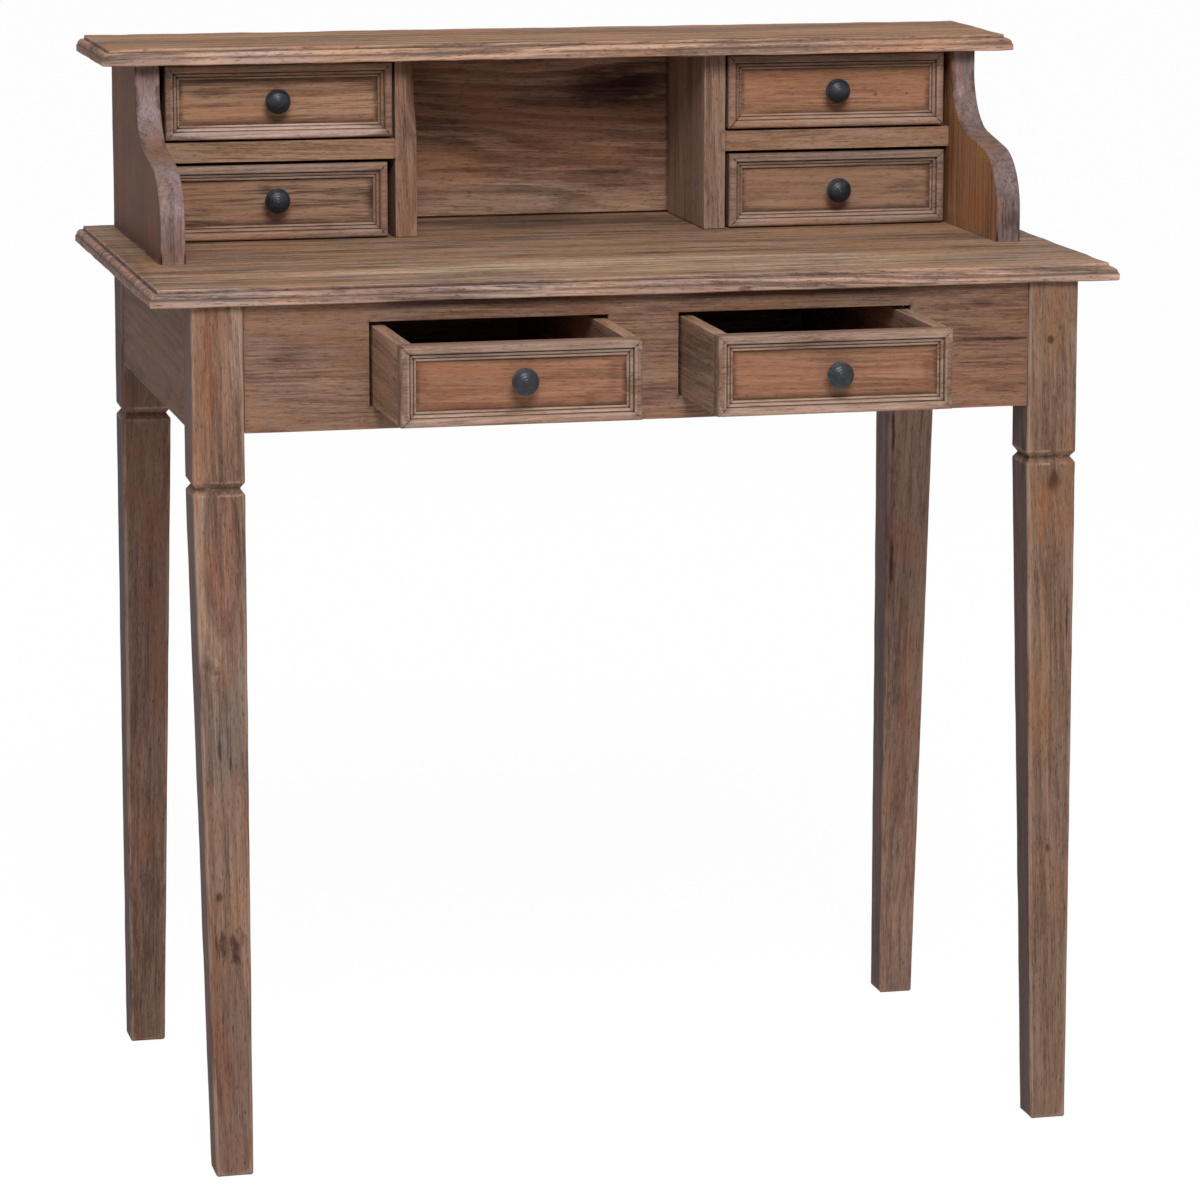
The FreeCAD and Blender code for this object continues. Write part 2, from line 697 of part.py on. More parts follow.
def hutch_back():
    """The panel between the scroll sides, rebated along its foot so that a dark line shows."""
    body = new_body("hutch_back")
    face = sketch_on(body, "XZ_Plane", "face")
    rectangle(face, size(0), size(0), 2 * X_SCROLL, D["hutch_height"])
    pad(body, face, D["back_thick"], "face_pad", backward=True)
    rebate = sketch_on(body, "YZ_Plane", "rebate")
    rectangle(rebate, size(0), size(0), D["back_thick"] / 2, D["back_rebate"])
    pocket(body, rebate, "rebate_cut", both_ways=True)
    place(body, -X_SCROLL, Y_PANEL, Z_TOP)


# --- drawers -----------------------------------------------------------------------------


# How far each knob stands right of and above the middle of its front: they were bored by eye.
KNOB_DRIFTS = {
    "table_drawer_left": (0.8, 2.6),
    "table_drawer_right": (1.5, -0.8),
    "hutch_drawer_upper_left": (-2.6, 0.6),
    "hutch_drawer_lower_left": (0.9, 2.0),
    "hutch_drawer_upper_right": (-0.8, 0.0),
    "hutch_drawer_lower_right": (-0.5, -1.1),
}


class Drawer:
    """One drawer: its name, its sizes, and where the lower left of its front stands."""

    def __init__(self, name, width, height, depth, side, lift, corner):
        self.name = name
        self.width = width
        self.height = height
        self.depth = depth
        self.side = side
        self.lift = lift
        self.x, self.y, self.z = corner
        self.face = D["mould_relief"]
        self.back = self.face + D["front_board"]
        self.tall = height + lift
        self.floor = D["panel_lift"] - lift
        right, up = KNOB_DRIFTS[name]
        self.knob_x = width / 2 + right
        self.knob_z = height / 2 + up

    def put(self, item, x, y, z, axis=(0, 0, 1), angle=0.0):
        """Places an item at x, y, z from the corner of the drawer's front."""
        return place(item, self.x + x, self.y + y, self.z + z, axis, angle)


def drawer_front(drawer):
    """The board behind the moulding, bored for the knob and grooved for the bottom."""
    body = new_body(f"{drawer.name}_front")
    face = sketch_on(body, "XZ_Plane", "face")
    rectangle(face, size(0), size(0), drawer.width, drawer.height)
    pad(body, face, D["front_board"], "face_pad", backward=True)
    bore = sketch_on(body, "XZ_Plane", "stud_hole")
    disc(bore, drawer.knob_x, drawer.knob_z, D["stud_width"] / 2 + D["fit_gap"])
    pocket(body, bore, "stud_hole_cut", both_ways=True)
    groove = sketch_on(body, "XZ_Plane", "bottom_groove", -D["front_board"])
    inner = drawer.width - 2 * (drawer.side - D["panel_groove"])
    high = D["panel_thick"] + D["fit_gap"]
    rectangle(groove, drawer.side - D["panel_groove"], drawer.floor, inner, high)
    pocket(body, groove, "bottom_groove_cut", D["panel_groove"], backward=True)
    drawer.put(body, size(0), drawer.face, size(0))


def moulding_strip(label, length):
    """A strip of drawer moulding, mitred at both ends.

    It lies along X with its outer edge at Z 0 and its back at Y mould_relief. From the
    outer edge inward the profile is a rounded shoulder, a broad crest, a quirk, a sloping
    fillet, a second quirk and a low bead beside the panel.
    """
    wide, relief = D["mould_width"], D["mould_relief"]
    shoulder, crest = relief * 0.45, wide * 0.22
    body = new_body(label)
    profile = sketch_on(body, "YZ_Plane", "profile")
    outline(
        profile,
        (relief, 0),
        (relief, wide),
        (relief * 0.66, wide),
        (relief * 0.58, wide * 0.88),
        (relief * 0.84, wide * 0.83),
        (relief * 0.5, wide * 0.78),
        (relief * 0.34, wide * 0.63),
        (relief * 0.62, wide * 0.58),
        (relief * 0.1, wide * 0.53),
        (0, wide * 0.46),
        (0, crest),
        (shoulder, 0, crest * 1.05),
    )
    pad(body, profile, length, "profile_pad")
    mitres = sketch_on(body, "XZ_Plane", "mitres")
    outline(mitres, (0, 0), (wide, wide), (0, wide))
    outline(mitres, (length, 0), (length, wide), (length - wide, wide))
    pocket(body, mitres, "mitres_cut", both_ways=True)
    return body


def drawer_moulding(drawer):
    """The mitred frame on a drawer's front: four strips."""
    wide, high = drawer.width, drawer.height
    strips = []
    for edge, length, x, z, angle in (
        ("lower", wide, 0, 0, 0),
        ("upper", wide, wide, high, 180),
        ("left", high, 0, high, 90),
        ("right", high, wide, 0, -90),
    ):
        strip = moulding_strip(f"{drawer.name}_{edge}_strip", length)
        strips.append(drawer.put(strip, size(x), size(0), size(z), (0, 1, 0), angle))
    group(f"{drawer.name}_moulding", strips)


def drawer_sides(drawer):
    """The two sides, grooved on the inside for the bottom."""
    length = drawer.depth - drawer.back
    boards = []
    for hand, x, y, angle in (
        ("left", 0, drawer.back, 0),
        ("right", drawer.width, drawer.depth, 180),
    ):
        body = new_body(f"{drawer.name}_{hand}_side")
        plan = sketch_on(body, "YZ_Plane", "face")
        rectangle(plan, size(0), size(0), length, drawer.tall)
        pad(body, plan, drawer.side, "face_pad")
        groove = sketch_on(body, "YZ_Plane", "bottom_groove", drawer.side)
        low, high = D["panel_lift"], D["panel_thick"] + D["fit_gap"]
        rectangle(groove, size(0), low, length, high)
        pocket(body, groove, "bottom_groove_cut", D["panel_groove"])
        boards.append(drawer.put(body, size(x), size(y), -drawer.lift, angle=angle))
    group(f"{drawer.name}_sides", boards)


def drawer_back(drawer):
    """The back between the sides, standing on the bottom."""
    body = new_body(f"{drawer.name}_back")
    face = sketch_on(body, "XZ_Plane", "face")
    high = drawer.tall - D["panel_lift"] - D["panel_thick"] - D["fit_gap"]
    rectangle(face, size(0), size(0), drawer.width - 2 * drawer.side, high)
    pad(body, face, D["box_back"], "face_pad", backward=True)
    low = drawer.floor + D["panel_thick"] + D["fit_gap"]
    drawer.put(body, drawer.side, drawer.depth - D["box_back"], low)


def drawer_bottom(drawer):
    """The panel in the grooves of the front and the sides."""
    body = new_body(f"{drawer.name}_bottom")
    plan = sketch_on(body, "XY_Plane", "plan")
    into = D["panel_groove"] - D["fit_gap"]
    width = drawer.width - 2 * drawer.side + 2 * into
    rectangle(plan, size(0), size(0), width, drawer.depth - drawer.back + into)
    pad(body, plan, D["panel_thick"], "plan_pad")
    drawer.put(body, drawer.side - into, drawer.back - into, drawer.floor)


def knob(drawer):
    """A turned metal knob: foot, stem, domed cap, and the stud that holds it."""
    half, neck, foot = D["knob_width"] / 2, D["knob_neck"] / 2, D["knob_foot"] / 2
    stud = D["stud_width"] / 2
    crown = D["knob_reach"]
    rim = crown - D["knob_cap"]
    rise = D["knob_cap"] - D["knob_rim"]
    dome = (rise * rise + half * half) / (2 * rise)
    end = D["front_board"] + D["stud_end"]
    body = new_body(f"{drawer.name}_knob")
    profile = sketch_on(body, "XY_Plane", "profile")
    outline(
        profile,
        (0, end),
        (0, -crown),
        (half, rise - crown, dome),
        (half, -rim),
        (neck, D["knob_rim"] - rim),
        (neck, -D["knob_rim"]),
        (foot, 0),
        (stud, 0),
        (stud, end),
    )
    turned = body.newObject("PartDesign::Revolution", "turned")
    turned.Profile = profile
    turned.ReferenceAxis = (profile, ["V_Axis"])
    turned.Angle = 360.0
    drawer.put(body, drawer.knob_x, drawer.face, drawer.knob_z)


def table_drawers():
    """The two table drawers, pulled out by drawer_out."""
    width = D["opening_width"] - 2 * D["side_play"]
    height = D["opening_height"] - D["slide_gap"] - D["head_room"]
    depth = D["front_proud"] + Y_APRON_BACK - D["apron_thick"] - Y_APRON - D["stop_gap"]
    y = Y_APRON - D["front_proud"] - D["drawer_out"]
    z = Z_SILL + D["slide_gap"]
    near = D["stile_width"] / 2 + D["side_play"]
    left, right = D["drift_table"] - near - width, D["drift_table"] + near
    return [
        Drawer("table_drawer_left", width, height, depth, D["box_side"], size(0), (left, y, z)),
        Drawer("table_drawer_right", width, height, depth, D["box_side"], size(0), (right, y, z)),
    ]


def hutch_drawers():
    """The four small drawers, closed; each pair hangs as its runners have worn."""
    width = BAY_WIDTH - 2 * D["small_play"]
    lift = D["small_lift"]
    height = BAY_HEIGHT - D["slide_gap"] - lift - D["small_head"]
    depth = D["front_proud"] + Y_PANEL - Y_PARTITION - D["stop_gap"]
    y = Y_PARTITION - D["front_proud"]
    low = Z_TOP + D["slide_gap"]
    high = low + BAY_HEIGHT + D["shelf_thick"]
    low_lift = lift - D["drift_lower"]
    left, right = -X_SCROLL + D["small_play"], X_BAY + D["small_play"]
    drawers = []
    for name, x, floor, rise in (
        ("hutch_drawer_upper_left", left + D["drift_upper"], high, lift),
        ("hutch_drawer_lower_left", left + D["drift_left"], low, low_lift),
        ("hutch_drawer_upper_right", right - D["drift_upper"], high, lift),
        ("hutch_drawer_lower_right", right - D["drift_right"], low, low_lift),
    ):
        corner = (x, y, floor + rise)
        drawers.append(Drawer(name, width, height, depth, D["small_side"], rise, corner))
    return drawers


# --- the desk ----------------------------------------------------------------------------


def build_table():
    """The table: top, legs, aprons, and what its drawers run on."""
    moulded_top("table_top", D["top_width"], D["top_depth"], Y_FRONT, D["leg_length"])
    inner = X_LEG - D["leg_side"]
    leg("leg_front_left", "right", -X_LEG, Y_LEG_FRONT)
    leg("leg_front_right", "left", inner, Y_LEG_FRONT)
    leg("leg_rear_left", "left", -inner, Y_LEG_BACK, turned=True)
    leg("leg_rear_right", "right", X_LEG, Y_LEG_BACK, turned=True)
    long_apron("front_apron", Y_APRON, pierced=True)
    long_apron("back_apron", Y_APRON_BACK, pierced=False, turned=True)
    side_apron("side_apron_left", -X_LEG + D["apron_recess"])
    side_apron("side_apron_right", X_LEG - APRON_INSET)
    inner_jamb = D["stile_width"] / 2
    outer_jamb = inner_jamb + D["opening_width"]
    runner("runner_left_outer", -outer_jamb, 1)
    runner("runner_left_inner", -inner_jamb, -1)
    runner("runner_right_inner", inner_jamb, 1)
    runner("runner_right_outer", outer_jamb, -1)
    kicker("kicker_left", -(inner_jamb + outer_jamb) / 2)
    kicker("kicker_right", (inner_jamb + outer_jamb) / 2)


def build_hutch():
    """The hutch: sides, partitions, shelves, back and top."""
    scroll_side("hutch_side_left", right=False)
    scroll_side("hutch_side_right", right=True)
    partition("partition_left", right=False)
    partition("partition_right", right=True)
    shelf("shelf_left", right=False)
    shelf("shelf_right", right=True)
    hutch_back()
    moulded_top(
        "hutch_top",
        HUTCH_WIDTH,
        D["hutch_top_depth"],
        Y_HUTCH_FRONT,
        Z_TOP + D["hutch_height"],
    )


def build_drawers():
    """All six drawers, each from the same seven kinds of piece."""
    for drawer in table_drawers() + hutch_drawers():
        drawer_front(drawer)
        drawer_moulding(drawer)
        drawer_sides(drawer)
        drawer_back(drawer)
        drawer_bottom(drawer)
        knob(drawer)


def nodes():
    """Every group, and every body or box that isn't inside one."""
    groups = [o for o in doc.Objects if o.TypeId == "Part::Compound"]
    inside = {piece.Name for node in groups for piece in node.Links}
    solids = [o for o in doc.Objects if o.TypeId in ("PartDesign::Body", "Part::Box")]
    return [s for s in solids if s.Name not in inside] + groups


def check_and_export():
    """Stops on anything failed or invalid, then writes one file for each node."""
    doc.recompute()
    for item in doc.Objects:
        if "Invalid" in item.State or "Error" in item.State:
            raise RuntimeError(f"{item.Label} failed: {item.State}")
    for node in nodes():
        if node.Shape.isNull() or not node.Shape.isValid() or not node.Shape.Solids:
            raise RuntimeError(f"{node.Label} has no valid solid")
    for node in nodes():
        node.Shape.exportStep(f"parts/{node.Label}.step")


build_table()
build_hutch()
build_drawers()
check_and_export()
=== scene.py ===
import logging
import math
import random
from dataclasses import dataclass, field
from enum import Enum
from typing import Iterable, Mapping, Sequence, Union

import bmesh
import bpy
import numpy as np
from mathutils import Matrix, Vector, noise


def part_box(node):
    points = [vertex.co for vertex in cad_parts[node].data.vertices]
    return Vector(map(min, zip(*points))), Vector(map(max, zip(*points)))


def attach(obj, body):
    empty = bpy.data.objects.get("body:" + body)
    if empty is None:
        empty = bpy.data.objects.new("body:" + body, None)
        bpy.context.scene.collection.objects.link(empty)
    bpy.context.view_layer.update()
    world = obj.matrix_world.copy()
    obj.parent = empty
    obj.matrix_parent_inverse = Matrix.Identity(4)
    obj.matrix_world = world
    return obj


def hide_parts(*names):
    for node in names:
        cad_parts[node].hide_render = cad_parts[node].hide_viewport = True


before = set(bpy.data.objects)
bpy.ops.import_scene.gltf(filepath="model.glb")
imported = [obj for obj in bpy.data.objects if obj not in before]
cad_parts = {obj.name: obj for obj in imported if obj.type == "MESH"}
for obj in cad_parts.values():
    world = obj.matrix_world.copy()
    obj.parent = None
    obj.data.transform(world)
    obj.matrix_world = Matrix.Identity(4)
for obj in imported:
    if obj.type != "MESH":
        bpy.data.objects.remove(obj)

LOG = logging.getLogger("writing_desk")
MM = 0.001

Colour = tuple[float, float, float]
Value = Union["Signal", float, Sequence[float]]


# --- shader building ---------------------------------------------------------------------


class Signal:
    """An output socket that can be used in Python arithmetic, which adds its Math nodes."""

    def __init__(self, sheet: "ShaderSheet", socket: bpy.types.NodeSocket) -> None:
        """Keeps the socket and the sheet that it's on."""
        self.sheet = sheet
        self.socket = socket

    def _math(self, operation: str, *values: Value, clamp: bool = False) -> "Signal":
        """Adds a Math node for an operation on values in their order."""
        sockets = dict(enumerate(values))
        return self.sheet.add("ShaderNodeMath", {"operation": operation, "use_clamp": clamp}, sockets)

    def __add__(self, other: Value) -> "Signal":
        """self + other."""
        return self._math("ADD", self, other)

    def __radd__(self, other: Value) -> "Signal":
        """other + self."""
        return self._math("ADD", other, self)

    def __sub__(self, other: Value) -> "Signal":
        """self - other."""
        return self._math("SUBTRACT", self, other)

    def __rsub__(self, other: Value) -> "Signal":
        """other - self."""
        return self._math("SUBTRACT", other, self)

    def __mul__(self, other: Value) -> "Signal":
        """self * other."""
        return self._math("MULTIPLY", self, other)

    def __rmul__(self, other: Value) -> "Signal":
        """other * self."""
        return self._math("MULTIPLY", other, self)

    def other(self, output: Union[str, int]) -> "Signal":
        """Another output of the same node."""
        return Signal(self.sheet, self.socket.node.outputs[output])

    def fraction(self) -> "Signal":
        """What is left over a whole number."""
        return self._math("FRACT", self)

    def clamped(self) -> "Signal":
        """The value held between 0 and 1."""
        return self._math("ADD", self, 0.0, clamp=True)

    def rise(self, low: float, high: float) -> "Signal":
        """A smooth step.

        Args:
            low: Where the result leaves 0, or reaches it if low is the larger.
            high: Where the result reaches 1.

        Returns:
            A value from 0 to 1.
        """
        flipped = low > high
        start, end = (high, low) if flipped else (low, high)
        sockets = {"Value": self, "From Min": start, "From Max": end,
                   "To Min": 1.0 if flipped else 0.0, "To Max": 0.0 if flipped else 1.0}
        return self.sheet.add("ShaderNodeMapRange", {"interpolation_type": "SMOOTHSTEP"}, sockets)


class ShaderSheet:
    """The nodes of one material or of the world."""

    def __init__(self, owner: Union[bpy.types.Material, bpy.types.World]) -> None:
        """Clears the owner's nodes and keeps its tree.

        Args:
            owner: The material or world whose nodes these are.
        """
        owner.use_nodes = True
        self.owner = owner
        self.tree = owner.node_tree
        self.tree.nodes.clear()

    def add(
        self,
        kind: str,
        settings: Mapping[str, object] | None = None,
        sockets: Mapping[Union[str, int], Value] | None = None,
        output: Union[str, int] = 0,
    ) -> Signal:
        """Adds a node of any kind.

        Args:
            kind: The node's type.
            settings: The node's properties, set first; "stops" holds a ramp's stops.
            sockets: A value, a colour or a Signal for each input, by name or number.
            output: Which of its outputs is wanted.

        Returns:
            That output.
        """
        node = self.tree.nodes.new(kind)
        for key, value in (settings or {}).items():
            if key == "stops":
                self._set_stops(node, value)
            else:
                setattr(node, key, value)
        for key, value in (sockets or {}).items():
            socket = node.inputs[key]
            if isinstance(value, Signal):
                self.tree.links.new(value.socket, socket)
            elif isinstance(value, (tuple, list)) and socket.type == "RGBA":
                socket.default_value = (*value, 1.0)[:4]
            else:
                socket.default_value = value
        return Signal(self, node.outputs[output])

    @staticmethod
    def _set_stops(node: bpy.types.Node, stops: Sequence[tuple[float, float]]) -> None:
        """Gives a colour ramp its grey stops, as (place, level) pairs.

        Args:
            node: The ramp.
            stops: The pairs, in rising order.
        """
        elements = node.color_ramp.elements
        while len(elements) < len(stops):
            elements.new(0.5)
        for element, (place, level) in zip(elements, stops):
            element.position = place
            element.color = (level, level, level, 1.0)

    def scaled(self, vector: Signal, along: float, across: float) -> Signal:
        """A grain position stretched: along the grain by one factor, across it by another."""
        return self.vector("MULTIPLY", vector, (along, across, across))

    def attribute(self, name: str, output: str = "Fac") -> Signal:
        """What the mesh stores under a name."""
        return self.add("ShaderNodeAttribute", {"attribute_name": name}, {}, output)

    def bump(self, height: Signal, strength: float, distance: float) -> Signal:
        """The normal that a height gives."""
        sockets = {"Strength": strength, "Distance": distance, "Height": height}
        return self.add("ShaderNodeBump", {}, sockets)

    def mix(self, share: Value, first: Value, second: Value, blend: str = "MIX") -> Signal:
        """One colour mixed over another."""
        sockets = {"Factor": share, 6: first, 7: second}
        return self.add("ShaderNodeMix", {"data_type": "RGBA", "blend_type": blend}, sockets, 2)

    def vector(self, operation: str, *values: Value, output: str = "Vector") -> Signal:
        """Vector Math on values in their order."""
        return self.add("ShaderNodeVectorMath", {"operation": operation}, dict(enumerate(values)), output)

    def seen(self) -> Signal:
        """1 for what the camera sees itself or in a reflection or through glass, else 0."""
        path = self.add("ShaderNodeLightPath", {}, {}, "Is Camera Ray")
        return (path + path.other("Is Glossy Ray") + path.other("Is Transmission Ray")).clamped()

    def surface(self, **sockets: Value) -> bpy.types.Material:
        """Ends the material with a Principled shader.

        Args:
            sockets: The shader's inputs, with _ for the spaces in their names.

        Returns:
            The finished material.
        """
        named = {key.replace("_", " "): value for key, value in sockets.items()}
        self.end("ShaderNodeOutputMaterial", self.add("ShaderNodeBsdfPrincipled", {}, named))
        return self.owner

    def end(self, kind: str, shader: Signal) -> None:
        """Adds the output node and gives it the finished shader."""
        node = self.tree.nodes.new(kind)
        self.tree.links.new(shader.socket, node.inputs["Surface"])


# --- finishes ----------------------------------------------------------------------------


@dataclass(frozen=True)
class Figure:
    """Noise, as waves per metre along and across the grain, with its detail and roughness."""

    along: float
    across: float
    detail: float = 2.0
    rough: float = 0.5

    def on(self, sheet: ShaderSheet, place: Signal, output: str = "Fac") -> Signal:
        """The noise at a position, from about 0.25 to 0.75."""
        sockets = {"Vector": sheet.scaled(place, self.along, self.across), "Scale": 1.0,
                   "Detail": self.detail, "Roughness": self.rough}
        return sheet.add("ShaderNodeTexNoise", {}, sockets, output)


FIBRE = Figure(10.0, 560.0, 3.0, 0.75)
STREAK = Figure(2.2, 120.0, 5.0, 0.66)
BAND = Figure(1.2, 19.0)
PATCH = Figure(8.0, 21.0, 3.0, 0.55)
FILM = Figure(12.0, 58.0, 5.0, 0.70)
TICK = Figure(120.0, 880.0, 2.0, 0.6)
SPLIT = Figure(7.0, 430.0)
FRAY = Figure(55.0, 210.0, 3.0, 0.6)
WARP = Figure(3.2, 13.0)
CLOUD = Figure(240.0, 240.0, 4.0, 0.6)
SPECK = Figure(1500.0, 1500.0, 2.0, 0.6)
RING_STOPS = ((0.0, 0.6), (0.14, 0.0), (0.55, 0.12), (0.9, 1.0), (1.0, 0.6))
WOOD_RELIEF = 0.8 * MM
IRON_RELIEF = 0.3 * MM


@dataclass(frozen=True)
class Mark:
    """A knot, stain or patch at one place of a board, as a tint; lengths in millimetres."""

    place: tuple[float, float, float]
    reach: tuple[float, float, float]
    tint: Colour
    strength: float = 0.7
    core: float = 0.2
    ragged: float = 1.0

    def stain(self, sheet: ShaderSheet, spot: Signal, fray: Signal, colour: Signal) -> Signal:
        """Lays the mark over the wood.

        Args:
            sheet: The material's nodes.
            spot: The point on the desk, in metres.
            fray: Noise that makes the mark's outline uneven.
            colour: The wood's colour, whose grain stays visible.

        Returns:
            The colour with the mark.
        """
        shrink = tuple(1.0 / (reach * MM) for reach in self.reach)
        shift = tuple(-place / reach for place, reach in zip(self.place, self.reach))
        inside = sheet.vector("MULTIPLY_ADD", spot, shrink, shift)
        gap = sheet.vector("LENGTH", inside, output="Value") + (fray - 0.5) * self.ragged
        return sheet.mix(gap.rise(1.0, self.core) * self.strength, colour, self.tint, "MULTIPLY")


DARK = (0.22, 0.20, 0.24)
UMBER = (0.50, 0.47, 0.50)
RUST = (1.08, 0.86, 0.80)
ORANGE = (1.10, 0.92, 0.72)
GOLD = (1.25, 1.20, 1.02)
TAN = (1.30, 1.48, 1.60)
GREY = (0.85, 0.98, 1.10)
PLUM = (0.62, 0.54, 0.72)


@dataclass(frozen=True)
class WoodFinish:
    """Wood with a thin grey wash, rubbed back; colours are linear.

    The grain position, the distance to the nearest arris and to the nearest crease or joint,
    near which shade and dirt are painted, and each board's tone, with painted light and shade
    on some faces, come from attributes of the mesh.
    """

    name: str
    light: Colour = (0.325, 0.178, 0.116)
    dark: Colour = (0.126, 0.064, 0.043)
    warm: Colour = (0.275, 0.132, 0.072)
    wash: Colour = (0.270, 0.182, 0.142)
    worn: Colour = (0.380, 0.262, 0.200)
    # This colour darkens the pores, cracks and knots, and is also the painted shade near creases and
    # joints.
    grime_and_shade: Colour = (0.030, 0.018, 0.014)
    warmth: float = 0.5
    washed: float = 0.4
    streaks: float = 1.0
    bands: float = 0.8
    rings: float = 0.30
    fibres: float = 1.0
    pores: float = 0.5
    cracks: float = 0.2
    wear: float = 0.55
    wear_reach: float = 2.0
    shade_and_dirt: float = 0.7
    shade_and_dirt_reach: float = 4.0
    rings_per_metre: float = 150.0
    ring_fray: float = 2.0
    knots: float = 0.06
    rough: float = 0.60
    relief: float = 0.45

    def material(self, marks: Sequence[Mark] = ()) -> bpy.types.Material:
        """Builds the material.

        Args:
            marks: The knots and stains of one board.

        Returns:
            A material that reads the boards' grain, edge, nook and tone attributes.
        """
        sheet = ShaderSheet(bpy.data.materials.new(self.name))
        place = sheet.attribute("grain", "Vector")
        edge = sheet.attribute("edge")
        nook = sheet.attribute("nook")
        tone = sheet.attribute("tone", "Color")

        fibre = FIBRE.on(sheet, place)
        streak = STREAK.on(sheet, place)
        band = BAND.on(sheet, place)
        patch = PATCH.on(sheet, place)
        film = FILM.on(sheet, place)
        tick = TICK.on(sheet, place)
        split = SPLIT.on(sheet, place)
        ring = self._rings(sheet, place, streak)

        level = (streak - 0.5) * (3.0 * self.streaks) + (fibre - 0.5) * (2.8 * self.fibres)
        level = level + (band - 0.5) * (1.6 * self.bands) + 0.55 - ring * self.rings
        colour = sheet.mix(level.clamped(), self.dark, self.light)
        colour = sheet.mix(patch.rise(0.44, 0.62) * self.warmth, colour, self.warm)
        thin = (film + (fibre - 0.5) * 0.7).rise(0.40, 0.66)
        colour = sheet.mix(thin * self.washed, colour, self.wash)
        pore = tick.rise(0.57, 0.69) * self.pores
        colour = sheet.mix(pore, colour, self.grime_and_shade)
        colour = sheet.mix(tick.rise(0.42, 0.31) * (self.pores * 0.6), colour, self.worn)
        crack = split.rise(0.66, 0.71) * film.rise(0.50, 0.58) * self.cracks
        colour = sheet.mix(crack, colour, self.grime_and_shade)
        colour = sheet.mix(self._knots(sheet, place), colour, self.grime_and_shade)
        colour = sheet.mix(1.0, colour, tone, "MULTIPLY")
        if marks:
            spot = sheet.add("ShaderNodeTexCoord", {}, {}, "Object")
            fray = FRAY.on(sheet, place)
            for mark in marks:
                colour = mark.stain(sheet, spot, fray, colour)

        rubbed = edge.rise(self.wear_reach, 0.2) * (film + (fibre - 0.5) * 0.3).rise(0.38, 0.58)
        rubbed = rubbed * self.wear
        colour = sheet.mix(rubbed, colour, self.worn)
        # Painted shade, with some dirt: the wood darkens towards concave creases and the joints with other
        # boards.
        crease_shade_and_dirt = nook.rise(self.shade_and_dirt_reach, 0.0) * (film + fibre - 0.5).rise(0.25, 0.60)
        colour = sheet.mix((crease_shade_and_dirt * self.shade_and_dirt).clamped(), colour, self.grime_and_shade)

        height = fibre * 0.6 - ring * 0.3 - pore * 0.5 + film * 0.4 - crack
        bump = sheet.bump(height, self.relief, WOOD_RELIEF)
        rough = (fibre - 0.5) * 0.4 + (self.rough + 0.03) - rubbed * 0.12
        return sheet.surface(
            Base_Color=colour, Roughness=rough.clamped(), Normal=bump, Specular_IOR_Level=0.06
        )

    def _rings(self, sheet: ShaderSheet, place: Signal, streak: Signal) -> Signal:
        """Growth rings round the tree's axis, as dark late-wood lines from 0 to 1.

        Args:
            sheet: The material's nodes.
            place: The grain position.
            streak: Noise that frays the rings.

        Returns:
            The darkness of the ring at each place.
        """
        warp = WARP.on(sheet, place, "Color")
        warp = sheet.vector("SUBTRACT", warp, (0.5, 0.5, 0.5))
        bent = sheet.vector("MULTIPLY_ADD", warp, (0.0, 0.06, 0.06), sheet.scaled(place, 0.0, 1.0))
        radius = sheet.vector("LENGTH", bent, output="Value")
        turn = (radius * self.rings_per_metre + streak * self.ring_fray).fraction()
        return sheet.add("ShaderNodeValToRGB", {"stops": RING_STOPS}, {"Fac": turn})

    def _knots(self, sheet: ShaderSheet, place: Signal) -> Signal:
        """A few small dark knots, longer along the grain than across it.

        Args:
            sheet: The material's nodes.
            place: The grain position.

        Returns:
            How much of a knot shows, from 0 to 0.7.
        """
        where = sheet.scaled(place, 7.0, 24.0)
        cell = sheet.add("ShaderNodeTexVoronoi", {}, {"Vector": where, "Scale": 1.0})
        chosen = sheet.add("ShaderNodeSeparateColor", {}, {0: cell.other("Color")}, "Red")
        return cell.rise(0.19, 0.05) * chosen.rise(1.0 - self.knots, 1.01 - self.knots) * 0.7


@dataclass(frozen=True)
class IronFinish:
    """Dark patinated cast iron with slightly polished high spots, and painted highlights on the knobs'
    crown, ring crests and rim.
    """

    name: str = "knob_patina"
    dark: Colour = (0.013, 0.016, 0.021)
    bright: Colour = (0.076, 0.078, 0.090)
    rough: float = 0.31
    relief: float = 0.22

    def material(self, marks: Sequence[Mark] = ()) -> bpy.types.Material:
        """Builds the material.

        Args:
            marks: Not used on iron.

        Returns:
            A material in object space.
        """
        sheet = ShaderSheet(bpy.data.materials.new(self.name))
        place = sheet.add("ShaderNodeTexCoord", {}, {}, "Object")
        cloud = CLOUD.on(sheet, place)
        speck = SPECK.on(sheet, place)
        edge = sheet.attribute("edge")
        # The edge attribute brightens the crown, the ring crests and the rim: polished iron and painted
        # highlights.
        rubbed = edge.rise(0.35, 1.0) * cloud.rise(0.30, 0.60)
        share = (cloud.rise(0.45, 0.75) * 0.25 + rubbed * 0.8).clamped()
        colour = sheet.mix(share, self.dark, self.bright)
        rough = (speck - 0.5) * 0.35 + (self.rough + 0.05) - rubbed * 0.1
        height = speck * 0.5 + cloud * 0.5
        bump = sheet.bump(height, self.relief, IRON_RELIEF)
        return sheet.surface(
            Base_Color=colour, Roughness=rough.clamped(), Normal=bump, Metallic=0.2,
            Specular_IOR_Level=0.4
        )


